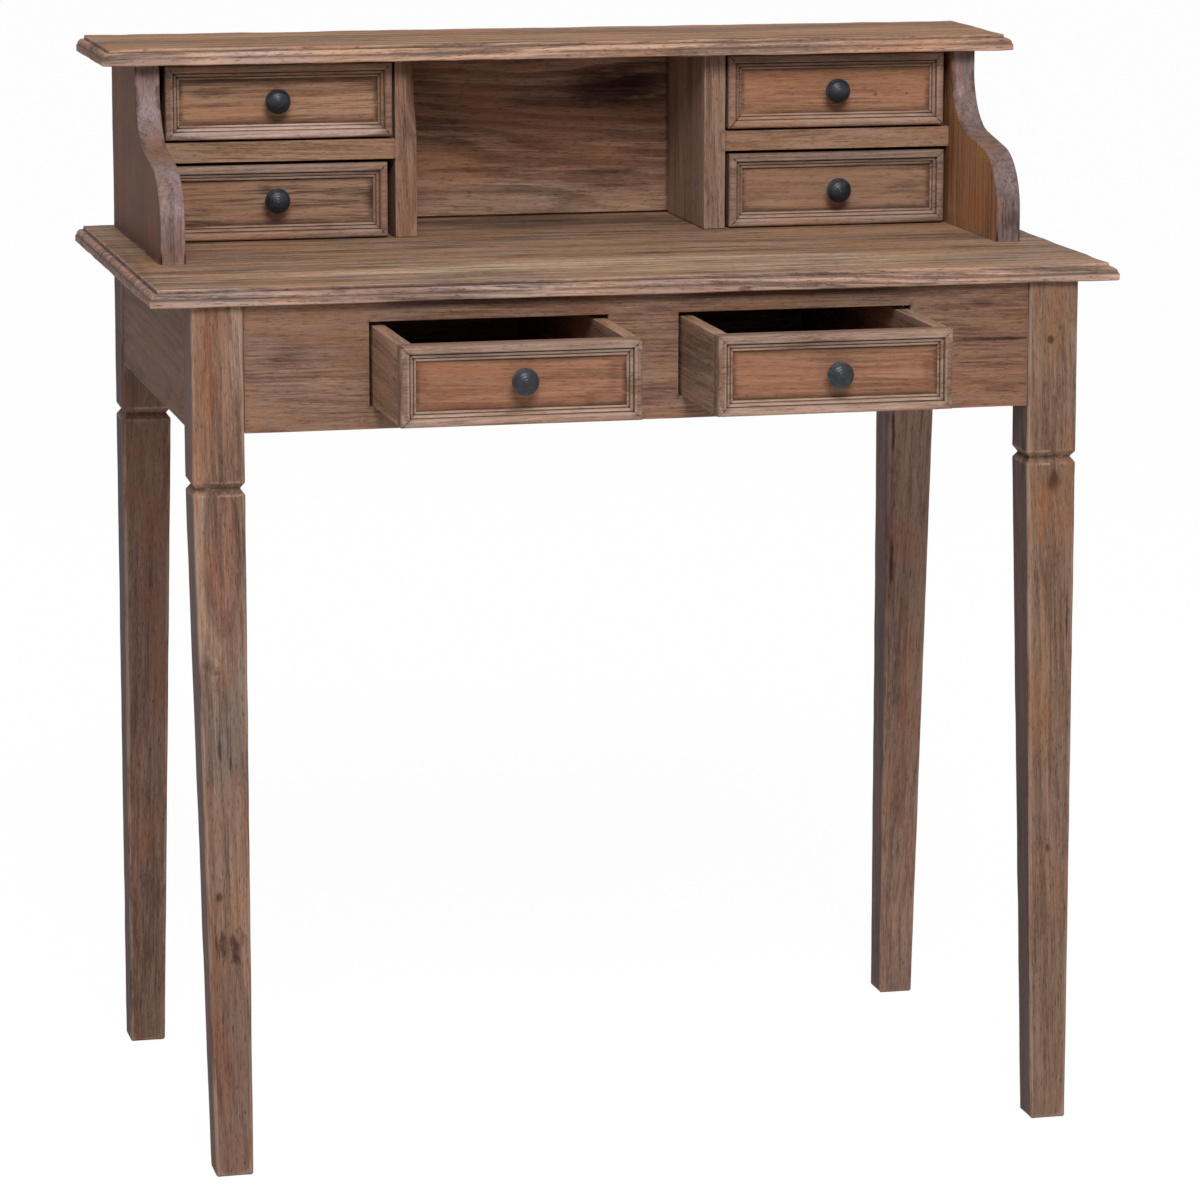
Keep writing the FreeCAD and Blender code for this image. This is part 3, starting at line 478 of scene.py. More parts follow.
class Wood(Enum):
    """The finishes of the desk's boards."""

    TOP = WoodFinish(
        "top_wood", light=(0.430, 0.262, 0.168), dark=(0.130, 0.078, 0.054),
        warm=(0.380, 0.195, 0.100), wash=(0.300, 0.212, 0.162), worn=(0.460, 0.310, 0.225),
        streaks=2.2, bands=2.0, fibres=1.5, pores=0.7, washed=0.4, rings=0.22, wear=0.5,
        shade_and_dirt_reach=2.5,
    )
    CARCASS = WoodFinish(
        "carcass_wood", dark=(0.142, 0.074, 0.050), streaks=0.72, fibres=1.1, warmth=0.65,
    )
    SIDE = WoodFinish("side_wood", rings=0.55, rings_per_metre=85.0, washed=0.3)
    LEG = WoodFinish(
        "leg_wood", light=(0.305, 0.178, 0.120), dark=(0.135, 0.076, 0.053),
        warm=(0.275, 0.126, 0.070), wash=(0.255, 0.172, 0.126), warmth=0.55,
        rings=0.32, knots=0.04, rings_per_metre=110.0, fibres=0.7, streaks=1.0,
    )
    PANEL = WoodFinish(
        "panel_wood", light=(0.350, 0.178, 0.108), dark=(0.190, 0.088, 0.051),
        warm=(0.320, 0.142, 0.074), wash=(0.290, 0.172, 0.115), streaks=0.9, bands=0.9,
        washed=0.25, rings=0.50, rings_per_metre=180.0, fibres=1.3, pores=0.4, knots=0.0,
        wear=0.2, cracks=0.1, shade_and_dirt=0.75, shade_and_dirt_reach=6.0,
    )
    FIGURED = WoodFinish(
        "figured_panel_wood", light=(0.400, 0.220, 0.128), dark=(0.130, 0.062, 0.036),
        warm=(0.350, 0.160, 0.078), wash=(0.300, 0.185, 0.120), streaks=1.6, bands=1.6,
        washed=0.2, rings=0.45, rings_per_metre=220.0, ring_fray=0.8, fibres=1.8, pores=0.4,
        knots=0.0, wear=0.2, cracks=0.1, shade_and_dirt=0.75, shade_and_dirt_reach=6.0,
    )
    MOULDING = WoodFinish(
        "moulding_wood", light=(0.350, 0.228, 0.168), dark=(0.150, 0.090, 0.064),
        warm=(0.300, 0.168, 0.104), wash=(0.305, 0.212, 0.168), worn=(0.440, 0.325, 0.262),
        grime_and_shade=(0.060, 0.034, 0.026), washed=0.4, wear=0.4, wear_reach=1.5, rings=0.15,
        knots=0.0, shade_and_dirt=0.15, fibres=1.0, shade_and_dirt_reach=0.9, streaks=0.8,
    )
    # The back's wood is lighter than the rest: painted light, for a board that stands in the shade of the
    # hutch top.
    BACK = WoodFinish(
        "back_wood", light=(0.580, 0.345, 0.245), dark=(0.190, 0.100, 0.070),
        warm=(0.480, 0.240, 0.145), wash=(0.420, 0.300, 0.230), washed=0.2, streaks=0.5,
        bands=0.9, rings=0.95, rings_per_metre=80.0, ring_fray=0.25, wear=0.2, cracks=0.1,
        fibres=0.8,
    )
    BOX = WoodFinish(
        "box_wood", light=(0.405, 0.245, 0.165), dark=(0.155, 0.090, 0.062),
        warm=(0.340, 0.175, 0.102), washed=0.4, streaks=1.4, wear=0.7, rings=0.25,
    )


# --- boards ------------------------------------------------------------------------------


# WELD, CUT_MARGIN and MITRE_REACH are in metres, the other lengths here in millimetres.
WELD = 0.002 * MM
FLAT_ANGLE = math.radians(0.6)
SHARP_ANGLE = math.radians(25)
ARRIS_ANGLE = math.radians(35)
CREASE_CUTS = (-7.0, -2.5, 0.0, 2.5, 7.0)
CUT_MARGIN = 0.6 * MM
MITRE_CUTS = (-1.1, 1.1)
MITRE_REACH = 0.5 * MM
MITRE_SHADE = 0.30
SHADE_SPREAD = 0.07
WARMTH_SPREAD = 0.035
HEART_DEPTHS = (0.03, 0.075)
WEAR_DEPTH = 5.0
WEAR_WAVES = 26.0


class Axis(Enum):
    """A direction of the frame."""

    X = 0
    Y = 1
    Z = 2


class Facing(Enum):
    """The faces of a board that may be tinted on their own, with painted light and shade for the way they
    face and with the wood's own tone.
    """

    EDGES = None
    LEFT = (-1.0, 0.0, 0.0)
    BACK = (0.0, 1.0, 0.0)


@dataclass
class Board:
    """A wooden piece: the CAD solid with its arrises worn round, and its grain.

    Sizes are in millimetres.
    """

    node: str
    body: str
    slot: str
    wood: Wood
    grain: Axis | None = None
    arris: float = 1.0
    wobble: float = 0.35
    step: float = 16.0
    neighbours: Sequence[str] = ()
    creases: Sequence[tuple[Vector, Vector]] = ()
    mitres: Sequence[tuple[Vector, Vector]] = ()
    tone: Colour = (1.0, 1.0, 1.0)
    face_tones: Mapping[Facing, Colour] = field(default_factory=dict)
    marks: tuple[Mark, ...] = ()

    def build(self) -> bpy.types.Object:
        """Makes the worn board in place of its CAD node.

        Returns:
            The new object.
        """
        solid = self._solid()
        sharp, hollow = self._sharp_edges(solid)
        corners = [e for e in solid.edges if self._is_arris(e)]
        if corners and self.arris:
            bmesh.ops.bevel(
                solid, geom=corners, offset=self.arris * MM, segments=3, profile=0.5,
                affect="EDGES", clamp_overlap=False,
            )
        # Painted shade and dirt gather along these concave edges, creases and joints.
        hollow = hollow + list(self.creases) + self._neighbour_edges()
        self._cut_grid(solid, hollow)
        self._cut_mitres(solid)
        mesh = bpy.data.meshes.new(f"{self.node}_board")
        solid.to_mesh(mesh)
        solid.free()
        self._dress(mesh, sharp, hollow)
        board = placed(f"{self.node}_board", mesh)
        smooth_by_weight(board)
        mesh.materials.append(material_of(self.wood, self.marks))
        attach(board, self.body)
        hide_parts(self.node)
        LOG.info("%s: %d faces", board.name, len(mesh.polygons))
        return board

    def _solid(self) -> bmesh.types.BMesh:
        """The CAD node's shape with its flat faces made whole.

        Returns:
            A mesh in editable form, which the caller frees.
        """
        solid = bmesh.new()
        solid.from_mesh(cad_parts[self.node].data)
        bmesh.ops.remove_doubles(solid, verts=solid.verts, dist=WELD)
        bmesh.ops.dissolve_limit(
            solid, angle_limit=FLAT_ANGLE, verts=solid.verts, edges=solid.edges
        )
        bmesh.ops.recalc_face_normals(solid, faces=solid.faces)
        return solid

    def _is_arris(self, edge: bmesh.types.BMEdge) -> bool:
        """True for a long convex edge that wear would round.

        Args:
            edge: An edge of the board.

        Returns:
            Whether it's to be rounded.
        """
        if len(edge.link_faces) != 2 or edge.calc_length() < 4 * self.arris * MM:
            return False
        return edge.calc_face_angle_signed(0.0) > ARRIS_ANGLE

    @staticmethod
    def _sharp_edges(solid: bmesh.types.BMesh) -> tuple[list, list]:
        """The convex and the concave edges, each as a pair of points.

        Args:
            solid: The board before its arrises are rounded.

        Returns:
            The convex edges, then the concave ones.
        """
        convex, concave = [], []
        for edge in solid.edges:
            if len(edge.link_faces) != 2:
                continue
            angle = edge.calc_face_angle_signed(0.0)
            ends = (edge.verts[0].co.copy(), edge.verts[1].co.copy())
            if angle > SHARP_ANGLE:
                convex.append(ends)
            elif angle < -SHARP_ANGLE:
                concave.append(ends)
        return convex, concave

    def _neighbour_edges(self) -> list[tuple[Vector, Vector]]:
        """The box edges of the pieces that stand against this one.

        Returns:
            The edges, each as a pair of points.
        """
        found = []
        for name in self.neighbours:
            found += box_edges(*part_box(name))
        return found

    def _cut_grid(self, solid: bmesh.types.BMesh, creases: Iterable[tuple]) -> None:
        """Divides the faces evenly, and close beside each crease, to carry the attributes.

        Args:
            solid: The board, which is changed.
            creases: Lines along which painted shade and dirt gather.
        """
        low, high = bounds_of([v.co for v in solid.verts])
        for axis in range(3):
            span = high[axis] - low[axis]
            count = int(span / (self.step * MM))
            cuts = {round(low[axis] + span * i / (count + 1), 6) for i in range(1, count + 1)}
            for first, second in creases:
                if abs(first[axis] - second[axis]) < 0.1 * MM:
                    cuts |= {round(first[axis] + d * MM, 6) for d in CREASE_CUTS}
            normal = Vector((0.0, 0.0, 0.0))
            normal[axis] = 1.0
            for cut in sorted(cuts):
                if not low[axis] + CUT_MARGIN < cut < high[axis] - CUT_MARGIN:
                    continue
                point = Vector((0.0, 0.0, 0.0))
                point[axis] = cut
                geometry = solid.verts[:] + solid.edges[:] + solid.faces[:]
                bmesh.ops.bisect_plane(solid, geom=geometry, plane_co=point, plane_no=normal)

    def _cut_mitres(self, solid: bmesh.types.BMesh) -> None:
        """Divides the faces close beside each mitre of a face frame.

        Args:
            solid: The board, which is changed.
        """
        for outer, inner in self.mitres:
            normal = (inner - outer).normalized().cross(Vector((0.0, 1.0, 0.0)))
            for gap in MITRE_CUTS:
                geometry = solid.verts[:] + solid.edges[:] + solid.faces[:]
                bmesh.ops.bisect_plane(
                    solid, geom=geometry, plane_co=outer + normal * gap * MM, plane_no=normal
                )

    def _dress(self, mesh: bpy.types.Mesh, sharp: list, hollow: list) -> None:
        """Writes the attributes that the finish reads, and wears the arrises a little.

        Args:
            mesh: The board, which is changed.
            sharp: Its arrises before they were rounded.
            hollow: The lines along which painted shade and dirt gather.
        """
        points = np.array([v.co[:] for v in mesh.vertices])
        edge = distance_to(points, sharp) / MM
        nook = distance_to(points, hollow) / MM
        grain = np.zeros_like(points)
        tone = np.ones((len(points), 4))
        for number, island in enumerate(islands(mesh)):
            chance = random.Random(f"{self.node}{number}")
            grain[island] = self._grain_places(points[island], chance)
            shade = 1.0 + chance.uniform(-SHADE_SPREAD, SHADE_SPREAD)
            warm = chance.uniform(-WARMTH_SPREAD, WARMTH_SPREAD)
            tone[island, :3] = (
                self.tone[0] * shade * (1 + warm), self.tone[1] * shade,
                self.tone[2] * shade * (1 - warm),
            )
        # Faces tinted by which way they look: on several boards this is painted light and shade.
        for facing, colour in self.face_tones.items():
            chosen = self._points_facing(mesh, points, facing)
            tone[chosen, :3] *= colour
        if self.mitres:
            level = points.copy()
            level[:, 1] = self.mitres[0][0].y
            tone[distance_to(level, self.mitres) < MITRE_REACH, :3] *= MITRE_SHADE
        write_attribute(mesh, "grain", "FLOAT_VECTOR", "vector", grain)
        write_attribute(mesh, "edge", "FLOAT", "value", edge)
        write_attribute(mesh, "nook", "FLOAT", "value", nook)
        write_attribute(mesh, "tone", "FLOAT_COLOR", "color", tone)
        if self.wobble:
            self._wear(mesh, edge)

    @staticmethod
    def _points_facing(mesh: bpy.types.Mesh, points: np.ndarray, facing: Facing) -> list[int]:
        """The points of the faces that look one way, or of all but the two broad faces.

        Args:
            mesh: The board.
            points: Its points, one in a row.
            facing: Which faces are meant.

        Returns:
            The numbers of the points.
        """
        thin = int(np.argmin(points.max(axis=0) - points.min(axis=0)))
        chosen: set[int] = set()
        for face in mesh.polygons:
            if facing is Facing.EDGES:
                matches = abs(face.normal[thin]) < 0.98
            else:
                matches = face.normal.dot(Vector(facing.value)) > 0.9
            if matches:
                chosen.update(face.vertices)
        return sorted(chosen)

    def _grain_places(self, points: np.ndarray, chance: random.Random) -> np.ndarray:
        """Where each point lies in its tree: along the grain, then from the heart outward.

        Args:
            points: The points of one board.
            chance: The board's own random numbers.

        Returns:
            The places, in metres.
        """
        low, high = points.min(axis=0), points.max(axis=0)
        span = high - low
        along = self.grain.value if self.grain else int(np.argmax(span))
        across = [axis for axis in range(3) if axis != along]
        across.sort(key=lambda axis: -span[axis])
        local = points - (low + high) / 2
        u = local[:, along]
        heart = chance.uniform(*HEART_DEPTHS)
        v = local[:, across[0]] + chance.uniform(-0.5, 0.5) * span[across[0]]
        w = local[:, across[1]] + heart + u * chance.uniform(-0.05, 0.05)
        v = v + u * chance.uniform(-0.03, 0.03)
        return np.stack([u + chance.uniform(0.0, 20.0), v, w], axis=1)

    def _wear(self, mesh: bpy.types.Mesh, edge: np.ndarray) -> None:
        """Presses the arrises inward by uneven amounts, never outward.

        Args:
            mesh: The board, which is changed.
            edge: How far each point is from an arris, in millimetres.
        """
        low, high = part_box(self.node)
        normals = [v.normal.copy() for v in mesh.vertices]
        for vertex, normal, gap in zip(mesh.vertices, normals, edge):
            near = max(0.0, 1.0 - gap / WEAR_DEPTH)
            if near <= 0.0:
                continue
            place = vertex.co * WEAR_WAVES
            depth = max(0.0, noise.noise(place) + 0.25) + 0.5 * max(0.0, noise.noise(place * 3.1))
            vertex.co -= normal * (depth * near * self.wobble * MM)
            vertex.co = [min(max(c, a), b) for c, a, b in zip(vertex.co, low, high)]


def placed(name: str, data: bpy.types.ID) -> bpy.types.Object:
    """A new object of the scene that shows a mesh, a lamp or a camera.

    Args:
        name: The object's name.
        data: What it shows.

    Returns:
        The object, in the scene's collection.
    """
    piece = bpy.data.objects.new(name, data)
    bpy.context.scene.collection.objects.link(piece)
    return piece


MATERIALS: dict[object, bpy.types.Material] = {}


def material_of(
    finish: Union[Wood, IronFinish], marks: tuple[Mark, ...] = ()
) -> bpy.types.Material:
    """The material of a finish with some marks, made the first time that it's wanted.

    Args:
        finish: The wood or the iron.
        marks: The knots and stains of one board.

    Returns:
        The material.
    """
    if (finish, marks) not in MATERIALS:
        maker = finish.value if isinstance(finish, Wood) else finish
        MATERIALS[finish, marks] = maker.material(marks)
    return MATERIALS[finish, marks]


def box_edges(low: Vector, high: Vector) -> list[tuple[Vector, Vector]]:
    """The twelve edges of a box, as pairs of points.

    Args:
        low: The lowest corner.
        high: The highest corner.

    Returns:
        The edges.
    """
    edges = []
    for axis in range(3):
        others = [a for a in range(3) if a != axis]
        for first in (low, high):
            for second in (low, high):
                start = Vector((0.0, 0.0, 0.0))
                start[others[0]], start[others[1]] = first[others[0]], second[others[1]]
                end = start.copy()
                start[axis], end[axis] = low[axis], high[axis]
                edges.append((start, end))
    return edges


def bounds_of(points: Sequence[Vector]) -> tuple[Vector, Vector]:
    """The lowest and highest corner of some points."""
    table = np.array([p[:] for p in points])
    return Vector(table.min(axis=0)), Vector(table.max(axis=0))


def distance_to(points: np.ndarray, segments: Sequence[tuple]) -> np.ndarray:
    """How far each point is from the nearest of some line segments.

    Args:
        points: The points, one in a row.
        segments: Pairs of points.

    Returns:
        A distance for each point, 1 m where there are no segments.
    """
    nearest = np.full(len(points), 1.0)
    for first, second in segments:
        start, along = np.array(first[:]), np.array((second - first)[:])
        length = float(along @ along)
        if length < 1e-12:
            continue
        share = np.clip((points - start) @ along / length, 0.0, 1.0)
        gap = np.linalg.norm(points - start - share[:, None] * along, axis=1)
        nearest = np.minimum(nearest, gap)
    return nearest


def islands(mesh: bpy.types.Mesh) -> list[np.ndarray]:
    """The separate pieces of a mesh, each as the numbers of its points.

    Args:
        mesh: A mesh of one or more pieces.

    Returns:
        The pieces.
    """
    parent = list(range(len(mesh.vertices)))

    def root(item: int) -> int:
        """The point that stands for this one's piece."""
        while parent[item] != item:
            parent[item] = parent[parent[item]]
            item = parent[item]
        return item

    for edge in mesh.edges:
        first, second = root(edge.vertices[0]), root(edge.vertices[1])
        parent[first] = second
    labels = np.array([root(i) for i in range(len(parent))])
    return [np.where(labels == label)[0] for label in sorted(set(labels))]


def write_attribute(mesh: bpy.types.Mesh, name: str, kind: str, key: str, data: np.ndarray) -> None:
    """Stores one value for each point under a name that the finishes read."""
    layer = mesh.attributes.new(name, kind, "POINT")
    layer.data.foreach_set(key, np.ascontiguousarray(data, dtype=np.float32).ravel())


def smooth_by_weight(piece: bpy.types.Object, angle: float = 40.0) -> None:
    """Smooth shading that keeps broad flat faces flat.

    Args:
        piece: The object to shade.
        angle: In degrees; sharper edges stay sharp.
    """
    piece.data.shade_smooth()
    piece.data.set_sharp_from_angle(angle=math.radians(angle))
    weighted = piece.modifiers.new("weighted_normals", "WEIGHTED_NORMAL")
    weighted.keep_sharp = True
    weighted.weight = 80


# --- sub-assemblies ----------------------------------------------------------------------


def marks_on(axis: Axis, level: float, depth: float, *rows: tuple) -> tuple[Mark, ...]:
    """Marks on one face of a board.

    Args:
        axis: The direction that the face looks along.
        level: Where the face lies in that direction.
        depth: How far the marks reach from the face.
        rows: Each mark's place and reach along the other two axes, then the rest of Mark.

    Returns:
        The marks, in the rows' order.
    """
    marks = []
    for first, second, wide, high, *rest in rows:
        place, reach = [first, second], [wide, high]
        place.insert(axis.value, level)
        reach.insert(axis.value, depth)
        marks.append(Mark(tuple(place), tuple(reach), *rest))
    return tuple(marks)


LEG_MARKS: Mapping[str, tuple[Mark, ...]] = {
    "front_left": (
        Mark((-372, -167, 430), (40, 30, 205), (0.95, 1.08, 1.22), 1.0, 0.7, 0.3),
        Mark((-372, -167, 90), (40, 30, 150), (0.80, 0.84, 0.92), 1.0, 0.5, 0.3),
        *marks_on(Axis.Y, -167, 9,
            (-352, 722, 7, 56, TAN, 1.0, 0.5, 0.7),
            (-376, 694, 10, 62, RUST, 1.0, 0.3, 0.7),
            (-386, 540, 10, 100, (1.34, 1.36, 1.28), 0.9, 0.5, 0.7),
            (-376, 470, 12, 46, (1.34, 1.36, 1.28), 0.7, 0.4, 0.8),
            (-366, 540, 17, 74, UMBER, 0.5, 0.88, 0.3),
            (-365, 543, 15.5, 69, (1.46, 1.24, 1.16), 0.9, 0.6, 0.25),
            (-377, 449, 5, 9, UMBER, 0.7, 0.3, 0.8),
            (-372, 452, 4, 5, TAN, 0.9, 0.3, 0.8),
            (-372, 443, 7, 3, UMBER, 0.6, 0.2, 0.8),
            (-366, 385, 18, 60, GREY, 0.8, 0.1, 0.8),
            (-370, 378, 2, 20, DARK, 0.8, 0.2, 1.6),
            (-361, 364, 1.5, 12, DARK, 0.8, 0.2, 1.6),
            (-372, 248, 5, 7, DARK, 0.8, 0.2),
            (-362, 206, 14, 20, DARK, 0.8, 0.0, 3.6),
            (-372, 95, 16, 70, RUST, 0.8, 0.2, 0.6),
            (-386, 35, 2.5, 20, DARK, 0.9, 0.3),
        ),
    ),
    "front_right": (
        Mark((365, -167, 705), (4.5, 6, 5), (0.36, 0.28, 0.28), 0.95, 0.2),
        *marks_on(Axis.Y, -167, 9,
            (365, 690, 17, 45, GOLD, 0.5, 0.1, 0.6),
            (370, 580, 10, 14, (0.40, 0.31, 0.33), 0.9, 0.1, 1.5),
            (360, 562, 13, 40, ORANGE, 0.9, 0.1, 0.8),
            (357, 528, 5, 9, ORANGE, 0.8, 0.1),
            (384, 455, 1.3, 34, DARK, 0.85, 0.3, 0.9),
            (364, 410, 11, 120, GOLD, 0.7, 0.2, 0.6),
            (369, 249, 4, 7, DARK, 0.75, 0.1),
        ),
    ),
    "rear_left": (
        Mark((-369, 262, 380), (26, 12, 210), PLUM, 0.35, 0.2, 0.6),
    ),
    "rear_right": (
        *marks_on(Axis.Y, 262, 14,
            (347, 500, 7, 130, PLUM, 0.8, 0.3, 1.6),
            (350, 560, 2.5, 30, DARK, 0.85, 0.3, 1.2),
            (350, 430, 2.5, 26, DARK, 0.85, 0.3, 1.4),
            (366, 330, 12, 90, RUST, 0.6, 0.2, 0.6),
        ),
    ),
}
LEG_TONES: Mapping[str, Colour] = {
    "front_left": (0.90, 0.88, 0.88),
    "front_right": (0.86, 0.86, 0.85),
    "rear_left": (0.80, 0.81, 0.88),
    "rear_right": (1.10, 1.15, 1.24),
}
APRON_MARKS = (
    *marks_on(Axis.Y, -165, 6,
        (340, 705, 110, 90, (0.84, 0.74, 0.70), 0.9, 0.2, 0.4),
        (-290, 705, 110, 90, (0.90, 0.91, 0.95), 1.0, 0.3, 0.4),
        (316, 707, 44, 2.4, DARK, 0.9, 0.4, 0.9),
        (303, 741, 16, 7, UMBER, 0.7, 0.1, 1.6),
        (322, 663, 26, 6, UMBER, 0.6, 0.1, 1.8),
        (-307, 716, 26, 14, UMBER, 0.5, 0.0),
        (-274, 690, 30, 12, GOLD, 0.6, 0.0, 0.9),
        (4, 667, 24, 14, (0.88, 0.74, 0.78), 0.9, 0.1),
        (-47, 710, 1.4, 1.4, DARK, 0.9, 0.5, 0.0),
        (-245, 655, 1.4, 1.4, TAN, 0.9, 0.5, 0.0),
    ),
)
BACK_MARKS = (
    *marks_on(Axis.Y, 289, 9,
        (80, 890, 62, 25, (0.25, 0.22, 0.25), 0.95, 0.3, 0.8),
        (-125, 905, 60, 50, (0.74, 0.68, 0.70), 0.8, 0.1, 0.8),
        (118, 905, 60, 34, UMBER, 0.7, 0.1, 0.9),
        (0, 780, 190, 26, (0.80, 0.89, 0.90), 0.9, 0.4, 0.5),
        (0, 826, 170, 28, (1.10, 1.00, 0.86), 0.8, 0.3, 0.6),
        (-57, 816, 88, 4.5, UMBER, 0.9, 0.1, 0.5),
        (74, 811, 62, 3.5, UMBER, 0.9, 0.1, 0.5),
        (-67, 795, 72, 3.5, UMBER, 0.8, 0.1, 0.5),
        (73, 798, 62, 2.2, UMBER, 0.8, 0.1, 0.5),
        (0, 841, 140, 2.5, UMBER, 0.6, 0.1, 0.8),
    ),
)
SCROLL_MARKS: Mapping[str, tuple[Mark, ...]] = {
    "left": (
        Mark((-379, 142, 930), (16, 14, 14), (0.66, 0.60, 0.60), 0.9, 0.2, 0.8),
        Mark((-376, 138, 896), (13, 18, 21), (1.22, 1.30, 1.38), 0.9, 0.3, 1.2),
        Mark((-379, 90, 862), (18, 60, 28), (0.94, 0.80, 0.64), 0.9, 0.3),
        Mark((-373, 5, 822), (13, 16, 15), (1.18, 1.26, 1.42), 0.9, 0.2, 1.4),
        Mark((-384, 5, 800), (7, 14, 20), PLUM, 0.5, 0.2, 1.4),
        Mark((-379, 3, 780), (18, 14, 16), (0.90, 0.80, 0.70), 0.9),
        *marks_on(Axis.X, -390, 6,
            (250, 905, 60, 34, (1.16, 1.02, 0.90), 0.9),
            (190, 858, 44, 26, (0.86, 0.80, 0.94), 0.9),
            (130, 806, 56, 20, (0.94, 0.92, 1.12), 0.9),
            (245, 800, 40, 30, (1.10, 0.98, 0.92), 0.8),
            (62, 792, 34, 24, (1.34, 1.08, 0.86), 0.8, 0.2, 1.2),
        ),
    ),
    "right": (
        Mark((379, 142, 928), (16, 14, 12), (0.70, 0.70, 0.72), 0.9, 0.2, 0.8),
        Mark((375, 139, 896), (6, 12, 12), (1.26, 1.30, 1.36), 0.9, 0.2, 1.4),
        Mark((382, 134, 880), (12, 18, 18), (0.84, 0.96, 0.96), 0.9, 0.3),
        Mark((379, 60, 856), (18, 60, 14), (0.98, 0.82, 0.64), 0.9, 0.3),
        Mark((383, 3, 790), (16, 14, 15), (0.58, 0.55, 0.60), 0.9, 0.2, 2.6),
        Mark((371, 3, 800), (7, 14, 20), (1.16, 0.94, 0.76), 0.8, 0.2, 1.4),
        *marks_on(Axis.X, 368, 7,
            (165, 905, 50, 30, (0.62, 0.56, 0.58), 0.9, 0.2, 0.8),
            (150, 845, 40, 52, (0.76, 0.68, 0.68), 0.9),
            (52, 850, 16, 16, (1.24, 1.16, 1.06), 0.9, 0.1, 1.4),
            (140, 786, 40, 9, (1.10, 1.16, 1.40), 0.8, 0.1, 1.8),
            (60, 795, 60, 20, (1.16, 0.96, 0.80), 0.8, 0.2, 1.4),
        ),
    ),
}
TOP_MARKS = (
    *marks_on(Axis.Z, 771, 8,
        # The first mark darkens the top under the middle of the hutch: painted shadow.
        (-22, 240, 130, 60, (0.50, 0.53, 0.62), 0.9, 0.2, 0.7),
        (0, -94, 430, 70, (1.50, 1.64, 1.68), 0.95, 0.5, 0.5),
        (-272, -13, 90, 22, GOLD, 0.7, 0.0, 0.9),
        (-17, 92, 120, 14, GOLD, 0.6, 0.0, 0.9),
        (-399, 16, 14, 40, ORANGE, 0.8, 0.1, 0.8),
    ),
    # This mark and the one at x -427 darken the top's left end: painted shade.
    Mark((-425, 60, 765), (24, 300, 22), (0.78, 0.72, 0.72), 0.9, 0.7, 0.5),
    Mark((88, -7, 771), (150, 5, 8), UMBER, 0.5, 0.0, 1.3),
    Mark((337, -101, 771), (80, 40, 8), GREY, 0.7, 0.0, 0.9),
    Mark((-427, 60, 760), (12, 330, 8), (0.74, 0.72, 0.74), 0.9, 0.6, 0.6),
    *marks_on(Axis.Y, -172, 14,
        (-372, 764, 70, 14, (0.72, 0.78, 0.86), 0.95, 0.5, 0.7),
        (-210, 766, 180, 14, (0.78, 0.80, 0.87), 1.0, 0.5, 0.6),
        (-98, 764, 66, 16, (1.20, 1.28, 1.30), 0.95, 0.5, 0.8),
        (14, 764, 60, 16, (0.80, 0.86, 0.97), 0.95, 0.5, 0.8),
        (368, 764, 68, 16, (0.74, 0.75, 0.73), 0.95, 0.5, 0.8),
    ),
    Mark((-200, -168, 769), (230, 4, 2.2), (0.62, 0.58, 0.60), 0.85, 0.5, 1.2),
    Mark((-262, -172, 767), (12, 8, 4), (0.50, 0.48, 0.50), 0.9, 0.2, 1.8),
    Mark((62, -174, 764), (12, 6, 4), (0.62, 0.58, 0.60), 0.9, 0.3, 1.6),
    Mark((88, -174, 757), (9, 6, 5), (0.42, 0.36, 0.38), 0.95, 0.3, 1.6),
)
CROWN_MARKS = (
    # The first mark darkens the hutch top's left end: painted shade.
    Mark((-421, 210, 938), (9, 110, 10), (0.54, 0.49, 0.50), 0.95, 0.6, 0.8),
    Mark((-385, 124, 938), (54, 16, 9.5), (0.58, 0.62, 0.73), 0.95, 0.6, 0.7),
    Mark((-275, 124, 938), (66, 16, 9.5), (0.80, 0.84, 0.98), 0.95, 0.5, 0.7),
    # A painted highlight along the crest of the front edge.
    Mark((-275, 124, 943), (42, 8, 2.4), (1.28, 1.38, 1.52), 0.9, 0.3, 0.9),
    Mark((415, 124, 938), (16, 14, 12), (0.74, 0.72, 0.72), 0.9, 0.3, 0.8),
    Mark((-370, 210, 947), (60, 110, 3), (0.94, 1.02, 1.10), 0.9, 0.2, 0.8),
)


@dataclass
class Carcass:
    """A fixed part of the desk, whose boards share a body."""

    body: str = "desk"
    slot: str = "table_wood"

    def board(self, node: str, wood: Wood, grain: Axis, arris: float, **rest: object) -> None:
        """Makes one board, with the rest as in Board."""
        Board(node, self.body, self.slot, wood, grain, arris, **rest).build()


